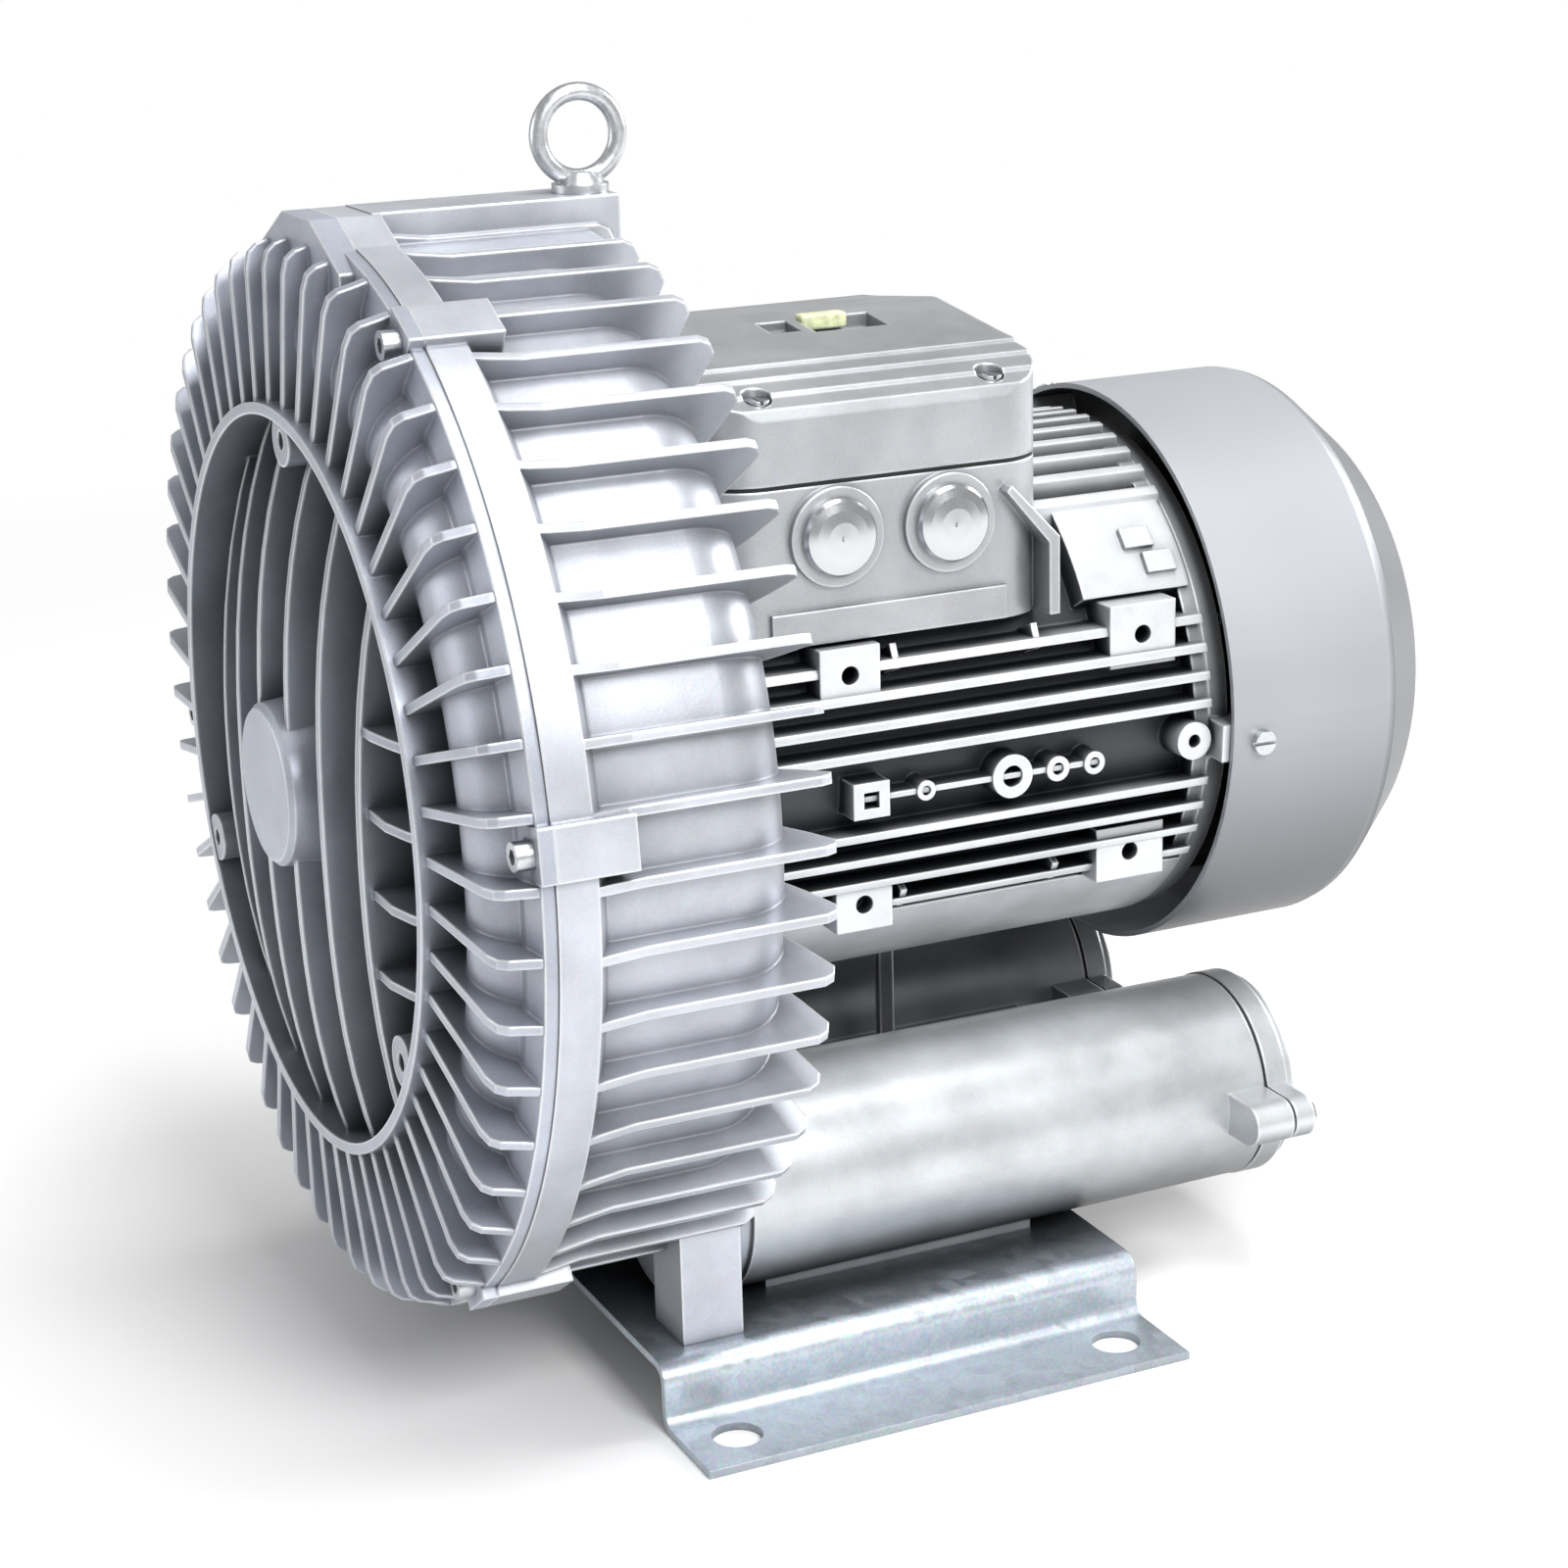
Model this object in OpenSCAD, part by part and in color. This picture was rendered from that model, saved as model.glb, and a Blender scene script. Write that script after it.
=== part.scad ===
// Side-channel air blower with a built-on finned motor.
// Local frame of every sub-part: Y runs along the shaft from the front cover to the fan cowl,
// y = 0 is the joint between front cover and rear housing, and the shaft axis is x = 0, z = 0.

/* [Blower housing] */
// Radius of the joint band between cover and housing
band_r = 191; // [189:0.5:196]
// Width of the joint band along the shaft
band_w = 15; // [12:1:20]
// Radius of the cast body below the fins
shell_r = 180; // [178:0.5:183]
// Wall of the castings
wall = 5; // [4:0.5:5.5]
// Radius of the fin tips
fin_r = 188; // [186:0.5:190]
// Fins round the housing
fin_n = 52; // [44:1:56]
// Thickness of one fin
fin_t = 3.2; // [2.4:0.2:4]
// How far the fins reach behind the joint
fin_tail = 100; // [96:1:106]
// Radius of the side channel's section
channel_r = 19; // [17:0.5:20]
// Centre of the front channel behind the joint
front_set = 8; // [6:0.5:10]
// Centre of the rear channel behind the joint
rear_set = 66; // [62:1:70]
// Reach of the joint bosses from the shaft axis
boss_r = 194; // [193:0.5:197]
// Width of a joint boss
boss_w = 18; // [17:1:22]
// Length of a joint boss behind the joint
boss_len = 27; // [24:1:32]
// Bolts that close the housing
bolt_n = 6; // [5:1:7]
// Height of the lifting pad above the shaft axis
pad_top = 197; // [195:0.5:200]

/* [Front cover] */
// Outside radius of the rim round the cooling recess
rim_r = 133; // [131:0.5:134]
// Thickness of that rim
rim_t = 4; // [3:0.5:6]
// How far the rim stands in front of the joint
rim_out = 24.5; // [23:0.5:27]
// How far the fins stand in front of the joint at their corner
nose_out = 19.5; // [18.5:0.5:21]
// Parallel cooling ribs in the recess
rib_n = 6; // [4:2:6]
// Distance between two cooling ribs
rib_pitch = 33; // [30:1:34]
// Thickness of a cooling rib
rib_t = 3.2; // [2.4:0.2:4]
// How far the ribs stand out at the middle
rib_out = 31; // [29:0.5:32]
// How far the ribs' front falls back towards the rim
rib_fall = 17.5; // [14:0.5:19]
// Distance between two level cross fins beside the last rib
cross_pitch = 28; // [25:1:30]
// Radius of the bearing hub's front
hub_r = 29; // [28.5:0.5:31]
// How far the bearing hub stands out
hub_out = 35; // [34:0.5:38]

/* [Bearings and shaft] */
// Bore of both ball bearings
bearing_bore = 25; // [24:0.5:26]
// Outside diameter of both ball bearings
bearing_od = 52; // [51:0.5:53]
// Width of both ball bearings
bearing_w = 15; // [14:0.5:16]
// Diameter of a bearing ball
ball_d = 7.9; // [7:0.1:8.2]
// Balls in a bearing
ball_n = 9; // [7:1:10]
// Gap between a ball and what it runs in
ball_gap = 0.08; // [0.05:0.01:0.15]
// Gap round a seated ring or pin
fit_gap = 0.03; // [0.02:0.01:0.05]
// Gap between two seated castings
seat_gap = 0.1; // [0.05:0.05:0.3]
// Diameter of the shaft through the rotor
shaft_d = 38; // [36:1:40]

/* [Impeller] */
// Blades of the impeller
blade_n = 44; // [36:1:48]
// Thickness of a blade
blade_t = 2.4; // [2:0.2:3]
// Running gap round the impeller
run_gap = 1; // [0.8:0.1:1.4]
// Radius of the impeller's hub
impeller_hub_r = 28; // [26:1:30]

/* [Motor] */
// Length of the finned motor frame
frame_len = 192; // [186:1:198]
// Radius of the frame's barrel
barrel_r = 88; // [87:0.5:90]
// Wall of the frame's barrel
barrel_wall = 8; // [7:0.5:9]
// Radius over the frame's fins
frame_fin_r = 100; // [98:0.5:101]
// Distance between two frame fins
frame_fin_pitch = 10; // [9:0.5:12]
// Thickness of a frame fin
frame_fin_t = 3; // [2.4:0.2:3.6]
// Bore of the stator
stator_bore = 105; // [102:1:108]
// Length of the laminated core
core_len = 120; // [110:2:130]
// Gap between rotor and stator
air_gap = 0.5; // [0.4:0.1:0.8]

/* [Fan cowl] */
// Outside radius of the cowl
cowl_r = 108.5; // [107:0.5:111]
// Length of the cowl
cowl_len = 95; // [92:1:100]
// Length of its cone
cone_len = 25; // [22:1:28]
// Radius at the end of the cone
cone_r = 87.5; // [84:0.5:92]
// Sheet thickness of the cowl
cowl_t = 2; // [1.5:0.1:2.5]
// Gap between the frame's fins and the cowl
cowl_gap = 3; // [2:0.5:5]
// Radius of the cooling fan
fan_r = 92; // [86:1:96]
// Blades of the cooling fan
fan_blade_n = 8; // [6:1:10]

/* [Terminal box] */
// Width of the box across the motor
box_w = 176; // [172:1:180]
// Length of the box along the motor
box_len = 131; // [126:1:136]
// Height of the box joint above the shaft axis
box_joint = 103; // [101:0.5:106]
// Height of the lid's ridge above the shaft axis
lid_top = 148; // [146:0.5:152]
// Wall of base and lid
box_wall = 4.5; // [3.5:0.5:5.5]
// Distance between the two cable entries
entry_pitch = 43.5; // [42:0.5:46]
// Thread diameter of a cable entry
entry_d = 25; // [24:0.5:25.5]
// Thickness of the lid's gasket
gasket_t = 1.5; // [1:0.1:2]
// Radius of the box's upright corners
box_corner = 20; // [14:1:22]
// Width of the terminal board across the motor
board_w = 70; // [60:1:80]
// Length of the terminal board
board_len = 50; // [44:1:56]
// Distance between two terminals across the motor
stud_x = 20; // [18:0.5:22]
// Distance between the two rows of terminals
stud_y = 26; // [24:1:30]
// Length of a terminal stud
stud_len = 20; // [18:1:24]

/* [Silencer] */
// Outside radius of a silencer tube
tube_r = 40; // [38:0.5:41]
// Distance of a tube from the middle plane
tube_x = 67; // [65:0.5:69]
// Distance of a tube below the shaft axis
tube_drop = 152; // [150:0.5:154]
// Length of the silencer casting
tube_len = 213; // [205:1:220]
// Wall of the silencer tubes
tube_wall = 4.5; // [4:0.5:5]
// Radius of the port thread's crests
port_r = 28.4; // [27.4:0.2:28.8]
// Thickness of a port cover
port_t = 13; // [11:1:15]
// Distance of a port screw from its tube's axis
ear_r = 51; // [50:0.5:53]

/* [Foot] */
// Width over the foot's flanges
foot_w = 318.4; // [314:0.2:324]
// Length of the foot
foot_len = 190; // [184:1:196]
// Height of the foot
foot_h = 25; // [23:0.5:28]
// Width of the raised middle of the foot
foot_mid_w = 244; // [241:1:247]
// Sheet thickness of the foot
foot_t = 3; // [2.5:0.5:4]
// Hole distance across the foot
hole_x = 279.2; // [276:0.2:282]
// Hole distance along the foot
hole_y = 151.4; // [148:0.2:156]
// Diameter of a foot hole
hole_d = 18; // [14:0.5:19]
// Inside radius of the foot's bends
foot_bend = 5; // [3:0.5:6]
// Height of the pads under the silencer tubes
pad_h = 1; // [0.8:0.1:2]

/* [Fasteners] */
// Thread diameter of the large screws
screw_d = 8; // [7:0.5:8.5]
// Thread diameter of the screws round the joint
joint_d = 6; // [5:0.5:6.5]
// Thread diameter of the small screws
small_d = 5; // [4:0.5:5.5]
// Outside diameter of the lifting eye's ring
eye_d = 36; // [34:1:38]
// Thickness of the lifting eye's ring
eye_t = 6.4; // [6:0.2:7]

/* [Hidden] */
eps = 0.01;
channel_c = shell_r - wall - channel_r;
channel_out = channel_r + wall;
bore_r = bearing_od / 2 + fit_gap;
journal_r = bearing_bore / 2;
ball_c = (bearing_od + bearing_bore) / 4;
hub_wall = 5;
spring_t = 1.6;
hub_taper = 3.5;
dome_x = 8;
dome_z = -10;
fin_turn = 3.5;
tail_turn = 2.6;
cross_z = 39;
front_bearing_y = -hub_out + hub_wall + spring_t;
floor_y = -4;
imp_y = front_set + run_gap;
imp_end = rear_set - run_gap;
blade_in = channel_c - channel_r;
blade_out = channel_c + channel_r - run_gap;
step_r = journal_r + 3.5;
shaft_r = shaft_d / 2;
wall_y = rear_set + 1;
wall_t = 7;
seal_w = 8;
seal_r = step_r + 8;
neck_r = frame_fin_r;
neck_in = barrel_r - barrel_wall;
frame_y = fin_tail;
frame_end = frame_y + frame_len;
core_y = frame_y + 40;
core_end = core_y + core_len;
coil_len = 22;
shield_t = 8;
rear_bearing_y = frame_end + 4;
rear_bearing_end = rear_bearing_y + bearing_w;
cowl_y = frame_end + cowl_gap;
cowl_end = cowl_y + cowl_len;
fan_y = rear_bearing_end + 19;
fan_w = 26;
shaft_end = fan_y + fan_w + 2;
mid_y = (cowl_end - hub_out) / 2;
plate_z = -tube_drop - tube_r - pad_h;
axis_h = foot_h - plate_z;
foot_y = 57.2;
foot_mid_y = foot_y + foot_len / 2;
box_y = frame_y + 1;
box_end = box_y + box_len;
box_floor = barrel_r + 7;
box_low = sqrt(frame_fin_r * frame_fin_r - box_w * box_w / 4);
entry_y = frame_y + 68;
entry_z = box_joint - 18;
tube_y = fin_tail;
tube_end = tube_y + tube_len;
flange_t = 8;
saddle_r = frame_fin_r - 3;
lug_x = 97.5;
lug_w = 25;
lug_y = 81.5;
lug_len = 23;
pad_y = fin_tail - 7;
pad_w = 28;
bolt_c = boss_r - 8;
head_r = 0.85 * joint_d;
fill_r = fin_r - 1.5;
cap_t = wall + 0.6;
land = 0.4;
seal_groove_r = shell_r - 2.2;
lid_screw_x = box_w / 2 - 8.5;
lid_screw_y = 21;
lid_screw_z = lid_top - 18;
strip_z = -8;
rest_y = foot_y + 90;
tube_draft = 1;
ear_turns = [60, 150];
flange_turns = [-20, 20, 160, 200];
joint_ear_r = tube_r + 6;
cowl_screw_y = cowl_y + 12;
washer_t = 1.5;

// Puts a sub-part from its local frame onto the floor, centred front to back
module seat() {
    translate([0, -mid_y, axis_h]) children();
}

// Turns a section (radius, y) round the shaft axis
module turned() {
    rotate([-90, 0, 0]) rotate_extrude($fn = 180) children();
}

// Turns a section through part of a circle, centred on the angle mid above the +X side
module turned_part(mid, span) {
    rotate([0, -mid - span / 2, 0]) rotate([-90, 0, 0])
        rotate_extrude(angle = span, $fn = 180) children();
}

// Copies round the shaft axis, from the angle start above the +X side
module around(n, start = 0) {
    for (i = [0 : n - 1]) rotate([0, -start - i * 360 / n, 0]) children();
}

// Places of the joint bosses, each midway between two fins
module at_bosses() {
    for (i = [0 : bolt_n - 1])
        rotate([0, -fin_turn - (floor(i * fin_n / bolt_n) + 0.5) * 360 / fin_n, 0]) children();
}

// Both sides of the middle plane
module both_sides() {
    children();
    mirror([1, 0, 0]) children();
}

// Cylinder along the shaft from y
module rod(r, y, len) {
    translate([0, y, 0]) rotate([-90, 0, 0]) cylinder(r = r, h = len, $fn = 72);
}

// Hollow cylinder along the shaft from y
module ring(ro, ri, y, len) {
    difference() {
        rod(ro, y, len);
        rod(ri, y - eps, len + 2 * eps);
    }
}

// Extrudes an outline (x, z) along the shaft from y
module along_y(y, len) {
    translate([0, y + len, 0]) rotate([90, 0, 0]) linear_extrude(len) children();
}

// Flat radial plate of an outline (radius, y)
module radial_plate(t) {
    translate([0, 0, -t / 2]) linear_extrude(t) children();
}

// Hexagon-head screw along Y: head from y = 0 forward, shank backward
module hex_screw(d, len, head = 0.65) {
    rod(d / 2, 0, len);
    translate([0, -head * d, 0]) rotate([-90, 0, 0]) cylinder(r = 0.94 * d, h = head * d, $fn = 6);
    translate([0, -washer_t / 2, 0]) rotate([-90, 0, 0]) cylinder(r = d, h = washer_t / 2, $fn = 36);
}

// Socket screw along Y: head in front of y = 0, shank behind it
module socket_screw(d, len) {
    difference() {
        union() {
            rod(d / 2, 0, len);
            rod(0.8 * d, -d, d + eps);
        }
        translate([0, -d - eps, 0]) rotate([-90, 0, 0]) cylinder(r = 0.45 * d, h = d / 2, $fn = 6);
    }
}

// Cheese-head screw along Y with a slot in its head
module slot_screw(d, len) {
    difference() {
        union() {
            rod(d / 2, 0, len);
            rod(0.9 * d, -0.6 * d, 0.6 * d);
        }
        translate([-d, -0.6 * d - eps, -0.12 * d]) cube([2 * d, 0.3 * d, 0.24 * d]);
    }
}

// Square with rounded corners, centred
module round_rect(w, l, r) {
    square([w - 2 * r, l], center = true);
    square([w, l - 2 * r], center = true);
    for (sx = [-1, 1], sy = [-1, 1])
        translate([sx * (w / 2 - r), sy * (l / 2 - r)]) circle(r = r, $fn = 48);
}

// Outline of a cover fin, from the joint band over the channel to the rim
module cover_fin_outline() {
    difference() {
        polygon([[rim_r - 1, -rim_out + 2.5], [fin_r - 9, -nose_out], [fin_r - 3.5, -nose_out + 1.5],
            [fin_r - 1, -nose_out + 4.5], [fin_r, -nose_out + 8],
            [band_r - 1.2, -cap_t], [band_r - 1.2, -eps], [shell_r - 2, -eps],
            [shell_r - 2, -2], [rim_r - 1, -2]]);
        translate([channel_c, front_set]) circle(r = channel_out - 1.5, $fn = 96);
    }
}

// Outline of a housing fin, from the joint band past the rounded shoulder
module housing_fin_outline() {
    difference() {
        polygon([[shell_r - 1.5, band_w - 2], [band_r - 0.6, band_w - 2], [fin_r, band_w + 16],
            [fin_r, fin_tail - 7], [fin_r - 2, fin_tail - 3], [fin_r - 6, fin_tail - 1],
            [channel_c + 12, fin_tail - 5], [channel_c - 18, rear_set + 18],
            [channel_c - 18, rear_set + 6],
            [shell_r - 1.5, rear_set]]);
        translate([channel_c, rear_set]) circle(r = channel_out - 1.5, $fn = 96);
    }
}

// Filled sector of the channel that parts inlet from outlet
module channel_stop(set, from, to) {
    turned_part(-90, 26) intersection() {
        translate([channel_c, set]) circle(r = channel_r + 1, $fn = 96);
        translate([channel_c - channel_out, from]) square([2 * channel_out, to - from]);
        union() {
            translate([0, -60]) square([channel_c + channel_out, 60]);
            translate([0, rear_set]) square([channel_c + channel_out, 60]);
            translate([channel_c, set]) circle(r = channel_r - seat_gap, $fn = 96);
        }
    }
}

// Recess ribs: parallel ribs under one dome, and level cross fins from the last one to the rim
module recess_ribs() {
    last_x = (rib_n - 1) / 2 * rib_pitch;
    intersection() {
        union() {
            for (i = [0 : rib_n - 1])
                translate([(i - (rib_n - 1) / 2) * rib_pitch - rib_t / 2, -60, -rim_r])
                    cube([rib_t, 60 + floor_y + 1, 2 * rim_r]);
            for (i = [0 : 3]) translate([last_x, -rim_out, cross_z - i * cross_pitch - fin_t / 2])
                cube([rim_r - last_x, rim_out + floor_y + 1, fin_t]);
        }
        translate([dome_x, 0, dome_z]) turned() polygon([[0, floor_y + 1],
            for (i = [0 : 11]) [rim_r * i / 10, rib_fall * pow(i / 10, 3) - rib_out],
            [rim_r * 1.1, floor_y + 1]]);
        rod(rim_r - 1, -60, 100);
    }
}

// Lifting pad (x, z) over the joint: level top with flanks that run out into the band
module pad_outline() {
    top_x = pad_w / 2 + 1;
    foot_x = pad_w * 1.6;
    polygon([[-top_x, pad_top - 0.4], [top_x, pad_top - 0.4], [foot_x, shell_r + 2],
        [foot_x, shell_r - 16], [-foot_x, shell_r - 16], [-foot_x, shell_r + 2]]);
}

// Cover without its fins: half channel, joint flange, rim, recess floor and hub
module cover_section() {
    difference() {
        union() {
            intersection() {
                translate([channel_c, front_set]) circle(r = channel_out, $fn = 96);
                translate([rim_r - rim_t, -60]) square([shell_r, 60]);
            }
            polygon([[channel_c, -cap_t], [shell_r, -cap_t - 1], [band_r - 0.6, 1 - cap_t],
                [band_r - 0.6, 0], [channel_c, 0]]);
            translate([rim_r - rim_t, -rim_out]) square([rim_t, rim_out]);
            translate([0, floor_y]) square([channel_c - channel_r + 1, front_set - floor_y]);
            polygon([[0, -hub_out], [hub_r - 2, -hub_out], [hub_r, -hub_out + 2],
                [hub_r + hub_taper, floor_y + 1], [0, floor_y + 1]]);
        }
        translate([channel_c, front_set]) circle(r = channel_r, $fn = 96);
    }
}

module front_cover() {
    color("lightsteelblue") seat() difference() {
        union() {
            turned() cover_section();
            recess_ribs();
            around(fin_n, fin_turn) radial_plate(fin_t) cover_fin_outline();
            at_bosses() translate([shell_r - 3, -cap_t, -boss_w / 2])
                cube([boss_r - shell_r + 3, cap_t, boss_w]);
            around(3, 85) translate([rim_r - 9.5, 0, 0]) rod(9, 0.5 - rim_out, rim_out - 2);
            difference() {
                union() {
                    along_y(-nose_out + 9.2, nose_out - 9.2) pad_outline();
                    turned_part(-90, 15) translate([channel_c, -nose_out + 11])
                        square([band_r - 0.2 - channel_c, nose_out - 11]);
                }
                turned() {
                    translate([channel_c, front_set]) circle(r = channel_out - 1.5, $fn = 96);
                    translate([0, -60]) square([channel_c, 70]);
                }
            }
            channel_stop(front_set, -nose_out + 4, front_set - land);
        }
        rod(bore_r, front_bearing_y - spring_t, 60);
        at_bosses() translate([bolt_c, 0, 0]) {
            rod(joint_d / 2 + 0.4, -30, 60);
            rod(head_r + 0.5, -30, 30 - cap_t);
        }
        around(3, 85) translate([rim_r - 9.5, 0, 0]) rod(3.3, -rim_out - 5, 18);
    }
}

module cover_seal() {
    color("dimgray") seat() turned()
        translate([seal_groove_r, 1.5]) circle(r = 1.45, $fn = 24);
}

// Housing without its fins: joint band, shell, half channel, back wall, neck and seal seat
module housing_section() {
    polygon([[channel_c, 0], [band_r, 0], [band_r, band_w - 1], [shell_r - 1, band_w + 6],
        [channel_c, band_w + 6]]);
    translate([channel_c, 0]) square([shell_r - channel_c, rear_set]);
    intersection() {
        translate([channel_c, rear_set]) circle(r = channel_out, $fn = 96);
        translate([0, rear_set]) square([band_r, 60]);
    }
    translate([0, wall_y]) square([channel_c - channel_r - 1, wall_t]);
    translate([neck_in, wall_y]) square([neck_r - neck_in, fin_tail - wall_y]);
    translate([0, wall_y]) square([seal_r + 6, wall_t + seal_w]);
}

// Space that the impeller and the rear channel take
module housing_cavity() {
    translate([0, -1]) square([channel_c + channel_r, rear_set + 1]);
    translate([channel_c, rear_set]) circle(r = channel_r, $fn = 96);
}

// Places of the bolts between housing and motor frame
module flange_joints() {
    for (a = flange_turns) rotate([0, -a, 0]) translate([(neck_r + neck_in) / 2, 0, 0]) children();
}

// Screw ears round one end of a silencer tube, from y
module joint_ears(y, len) {
    for (a = ear_turns) rotate([0, -a, 0]) {
        translate([0, y, -7]) cube([joint_ear_r, len, 14]);
        translate([joint_ear_r, 0, 0]) rod(7, y, len);
    }
}

module rear_housing() {
    color("lightsteelblue") seat() difference() {
        union() {
            turned() housing_section();
            around(8, 22.5) translate([neck_r - 3, wall_y + 2, -2])
                cube([channel_c - channel_r - neck_r + 1, 18, 4]);
            around(fin_n, tail_turn) radial_plate(fin_t) housing_fin_outline();
            at_bosses() translate([shell_r - 3, 0, -boss_w / 2])
                cube([boss_r - shell_r + 3, boss_len, boss_w]);
            along_y(0, band_w) pad_outline();
            translate([-pad_w / 2, band_w - 3, shell_r - 8])
                cube([pad_w, fin_tail + 5 - band_w, pad_top - shell_r + 8]);
            turned_part(90, 19) translate([shell_r - 2, band_w - 1])
                square([fill_r - shell_r + 2, fin_tail - band_w - 10]);
            turned_part(-90, 15) translate([shell_r - 2, band_w - 1])
                square([band_r - shell_r, rear_set - band_w]);
            both_sides() {
                translate([tube_x, 0, -tube_drop]) {
                    rod(tube_r - 2, rear_set + 12, fin_tail - rear_set - 12);
                    joint_ears(fin_tail - 18, 18);
                }
                translate([lug_x - lug_w / 2, lug_y - lug_len / 2, plate_z])
                    cube([lug_w, lug_len, -plate_z - 140]);
            }
        }
        difference() {
            turned() housing_cavity();
            channel_stop(rear_set, rear_set + land, rear_set + channel_r + 2);
        }
        rod(step_r + 1, 0, 200);
        rod(seal_r, wall_y + wall_t, 200 - wall_y);
        turned() translate([seal_groove_r - 1.6, -1]) square([3.2, 4]);
        at_bosses() translate([bolt_c, 0, 0]) rod(joint_d / 2 + fit_gap, -1, boss_len - 2);
        flange_joints() {
            rod(screw_d / 2 + 0.3, 0, 200);
            rod(screw_d * 0.8, 0, wall_y + screw_d + 1);
        }
        translate([0, pad_y, pad_top - 20]) cylinder(r = screw_d / 2 + fit_gap, h = 30, $fn = 48);
        both_sides() {
            translate([tube_x, 0, -tube_drop]) rod(24, rear_set + 11, 60);
            translate([lug_x, lug_y, plate_z - 1])
                cylinder(r = screw_d / 2 + fit_gap, h = 21, $fn = 48);
            translate([tube_x, 0, -tube_drop]) for (a = ear_turns) rotate([0, -a, 0])
                translate([joint_ear_r, 0, 0]) rod(small_d / 2 + fit_gap, fin_tail - 14, 30);
        }
    }
}

module housing_bolts() {
    color("silver") seat() at_bosses() translate([bolt_c, -cap_t, 0])
        socket_screw(joint_d, cap_t + boss_len - 5);
}

module eye_bolt() {
    ring_c = pad_top + eye_d / 2 + 1.5;
    color("silver") seat() translate([0, pad_y, 0]) {
        translate([0, 0, ring_c]) rotate([0, 90, 0]) rotate_extrude($fn = 96)
            translate([(eye_d - eye_t) / 2, 0]) circle(r = eye_t / 2, $fn = 32);
        translate([0, 0, pad_top]) cylinder(r = 10, h = 3, $fn = 64);
        translate([0, 0, pad_top + 3 - eps]) cylinder(r1 = 9, r2 = 5.5, h = 4, $fn = 64);
        translate([0, 0, pad_top - 18]) cylinder(r = screw_d / 2, h = 18 + eps, $fn = 48);
    }
}

module shaft_seal() {
    color("dimgray") seat() difference() {
        rod(seal_r - fit_gap, wall_y + wall_t, seal_w - 0.5);
        turned() polygon([[0, wall_y], [step_r + 0.4, wall_y], [step_r + 0.4, wall_y + wall_t + 2],
            [step_r + 5, wall_y + wall_t + 3], [step_r + 5, wall_y + 40], [0, wall_y + 40]]);
    }
}

// Outer ring of a ball bearing, from y
module bearing_outer(y) {
    difference() {
        ring(bearing_od / 2, ball_c + 0.32 * ball_d, y, bearing_w);
        translate([0, y + bearing_w / 2, 0]) rotate([-90, 0, 0]) rotate_extrude($fn = 144)
            translate([ball_c, 0]) circle(r = ball_d / 2 + ball_gap, $fn = 48);
    }
}

// Inner ring of a ball bearing, from y
module bearing_inner(y) {
    difference() {
        ring(ball_c - 0.32 * ball_d, journal_r + fit_gap, y, bearing_w);
        translate([0, y + bearing_w / 2, 0]) rotate([-90, 0, 0]) rotate_extrude($fn = 144)
            translate([ball_c, 0]) circle(r = ball_d / 2 + ball_gap, $fn = 48);
    }
}

// Cage of a ball bearing, from y
module bearing_cage(y) {
    difference() {
        ring(ball_c + 0.14 * ball_d, ball_c - 0.14 * ball_d, y + 2, bearing_w - 4);
        around(ball_n) translate([ball_c - ball_d, y + bearing_w / 2, 0]) rotate([0, 90, 0])
            cylinder(r = ball_d / 2 + ball_gap, h = 2 * ball_d, $fn = 48);
    }
}

// Balls of a ball bearing, from y
module bearing_balls(y) {
    around(ball_n) translate([ball_c, y + bearing_w / 2, 0]) sphere(r = ball_d / 2, $fn = 48);
}

module front_bearing_outer_ring() {
    color("gainsboro") seat() bearing_outer(front_bearing_y);
}

module wave_spring() {
    color("gray") seat() ring(bearing_od / 2 - 1, bearing_od / 2 - 6,
        front_bearing_y - spring_t, spring_t);
}

module silencer_housing() {
    color("silver") seat() difference() {
        union() {
            both_sides() {
                translate([tube_x, 0, -tube_drop]) {
                    translate([0, tube_y, 0]) rotate([-90, 0, 0])
                        cylinder(r1 = tube_r, r2 = tube_r - tube_draft, h = tube_len, $fn = 120);
                    joint_ears(tube_y + land, flange_t - land);
                    for (s = [-1, 1]) translate([s * ear_r, 0, 0]) rod(8, tube_end - 16, 16);
                    translate([-ear_r, tube_end - 16, -8]) cube([2 * ear_r, 16, 16]);
                }
                translate([tube_x - 14, foot_y + 58, plate_z]) cube([28, 110, tube_r - 20]);
            }
            translate([-tube_x, tube_y + flange_t - 1, -tube_drop - 3])
                cube([2 * tube_x, tube_len - 40, 6]);
            translate([-tube_x, tube_y + 2 * land, -tube_drop - 14])
                cube([2 * tube_x, flange_t - 4 * land, 28]);
            translate([-2, frame_y + 103, -tube_drop]) cube([4, 6, tube_drop - saddle_r + 5]);
        }
        rod(saddle_r, 0, 600);
        both_sides() {
            translate([tube_x, 0, -tube_drop]) {
                rod(tube_r - tube_wall - tube_draft, tube_y - 1, tube_len + 2);
                for (s = [-1, 1]) translate([s * ear_r, 0, 0])
                    rod(small_d / 2 + fit_gap, tube_end - 14, 30);
                for (a = ear_turns) rotate([0, -a, 0]) translate([joint_ear_r, 0, 0])
                    rod(small_d / 2 + 0.3, tube_y - 1, 30);
            }
            translate([tube_x, rest_y, plate_z - 1])
                cylinder(r = small_d / 2 + fit_gap, h = 5.5, $fn = 36);
        }
    }
}

module silencer_screws() {
    color("silver") seat() both_sides() translate([tube_x, 0, -tube_drop])
        for (a = ear_turns) rotate([0, -a, 0]) translate([joint_ear_r, tube_y + flange_t, 0])
            rotate([180, 0, 0]) hex_screw(small_d, flange_t + 12);
}

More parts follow.
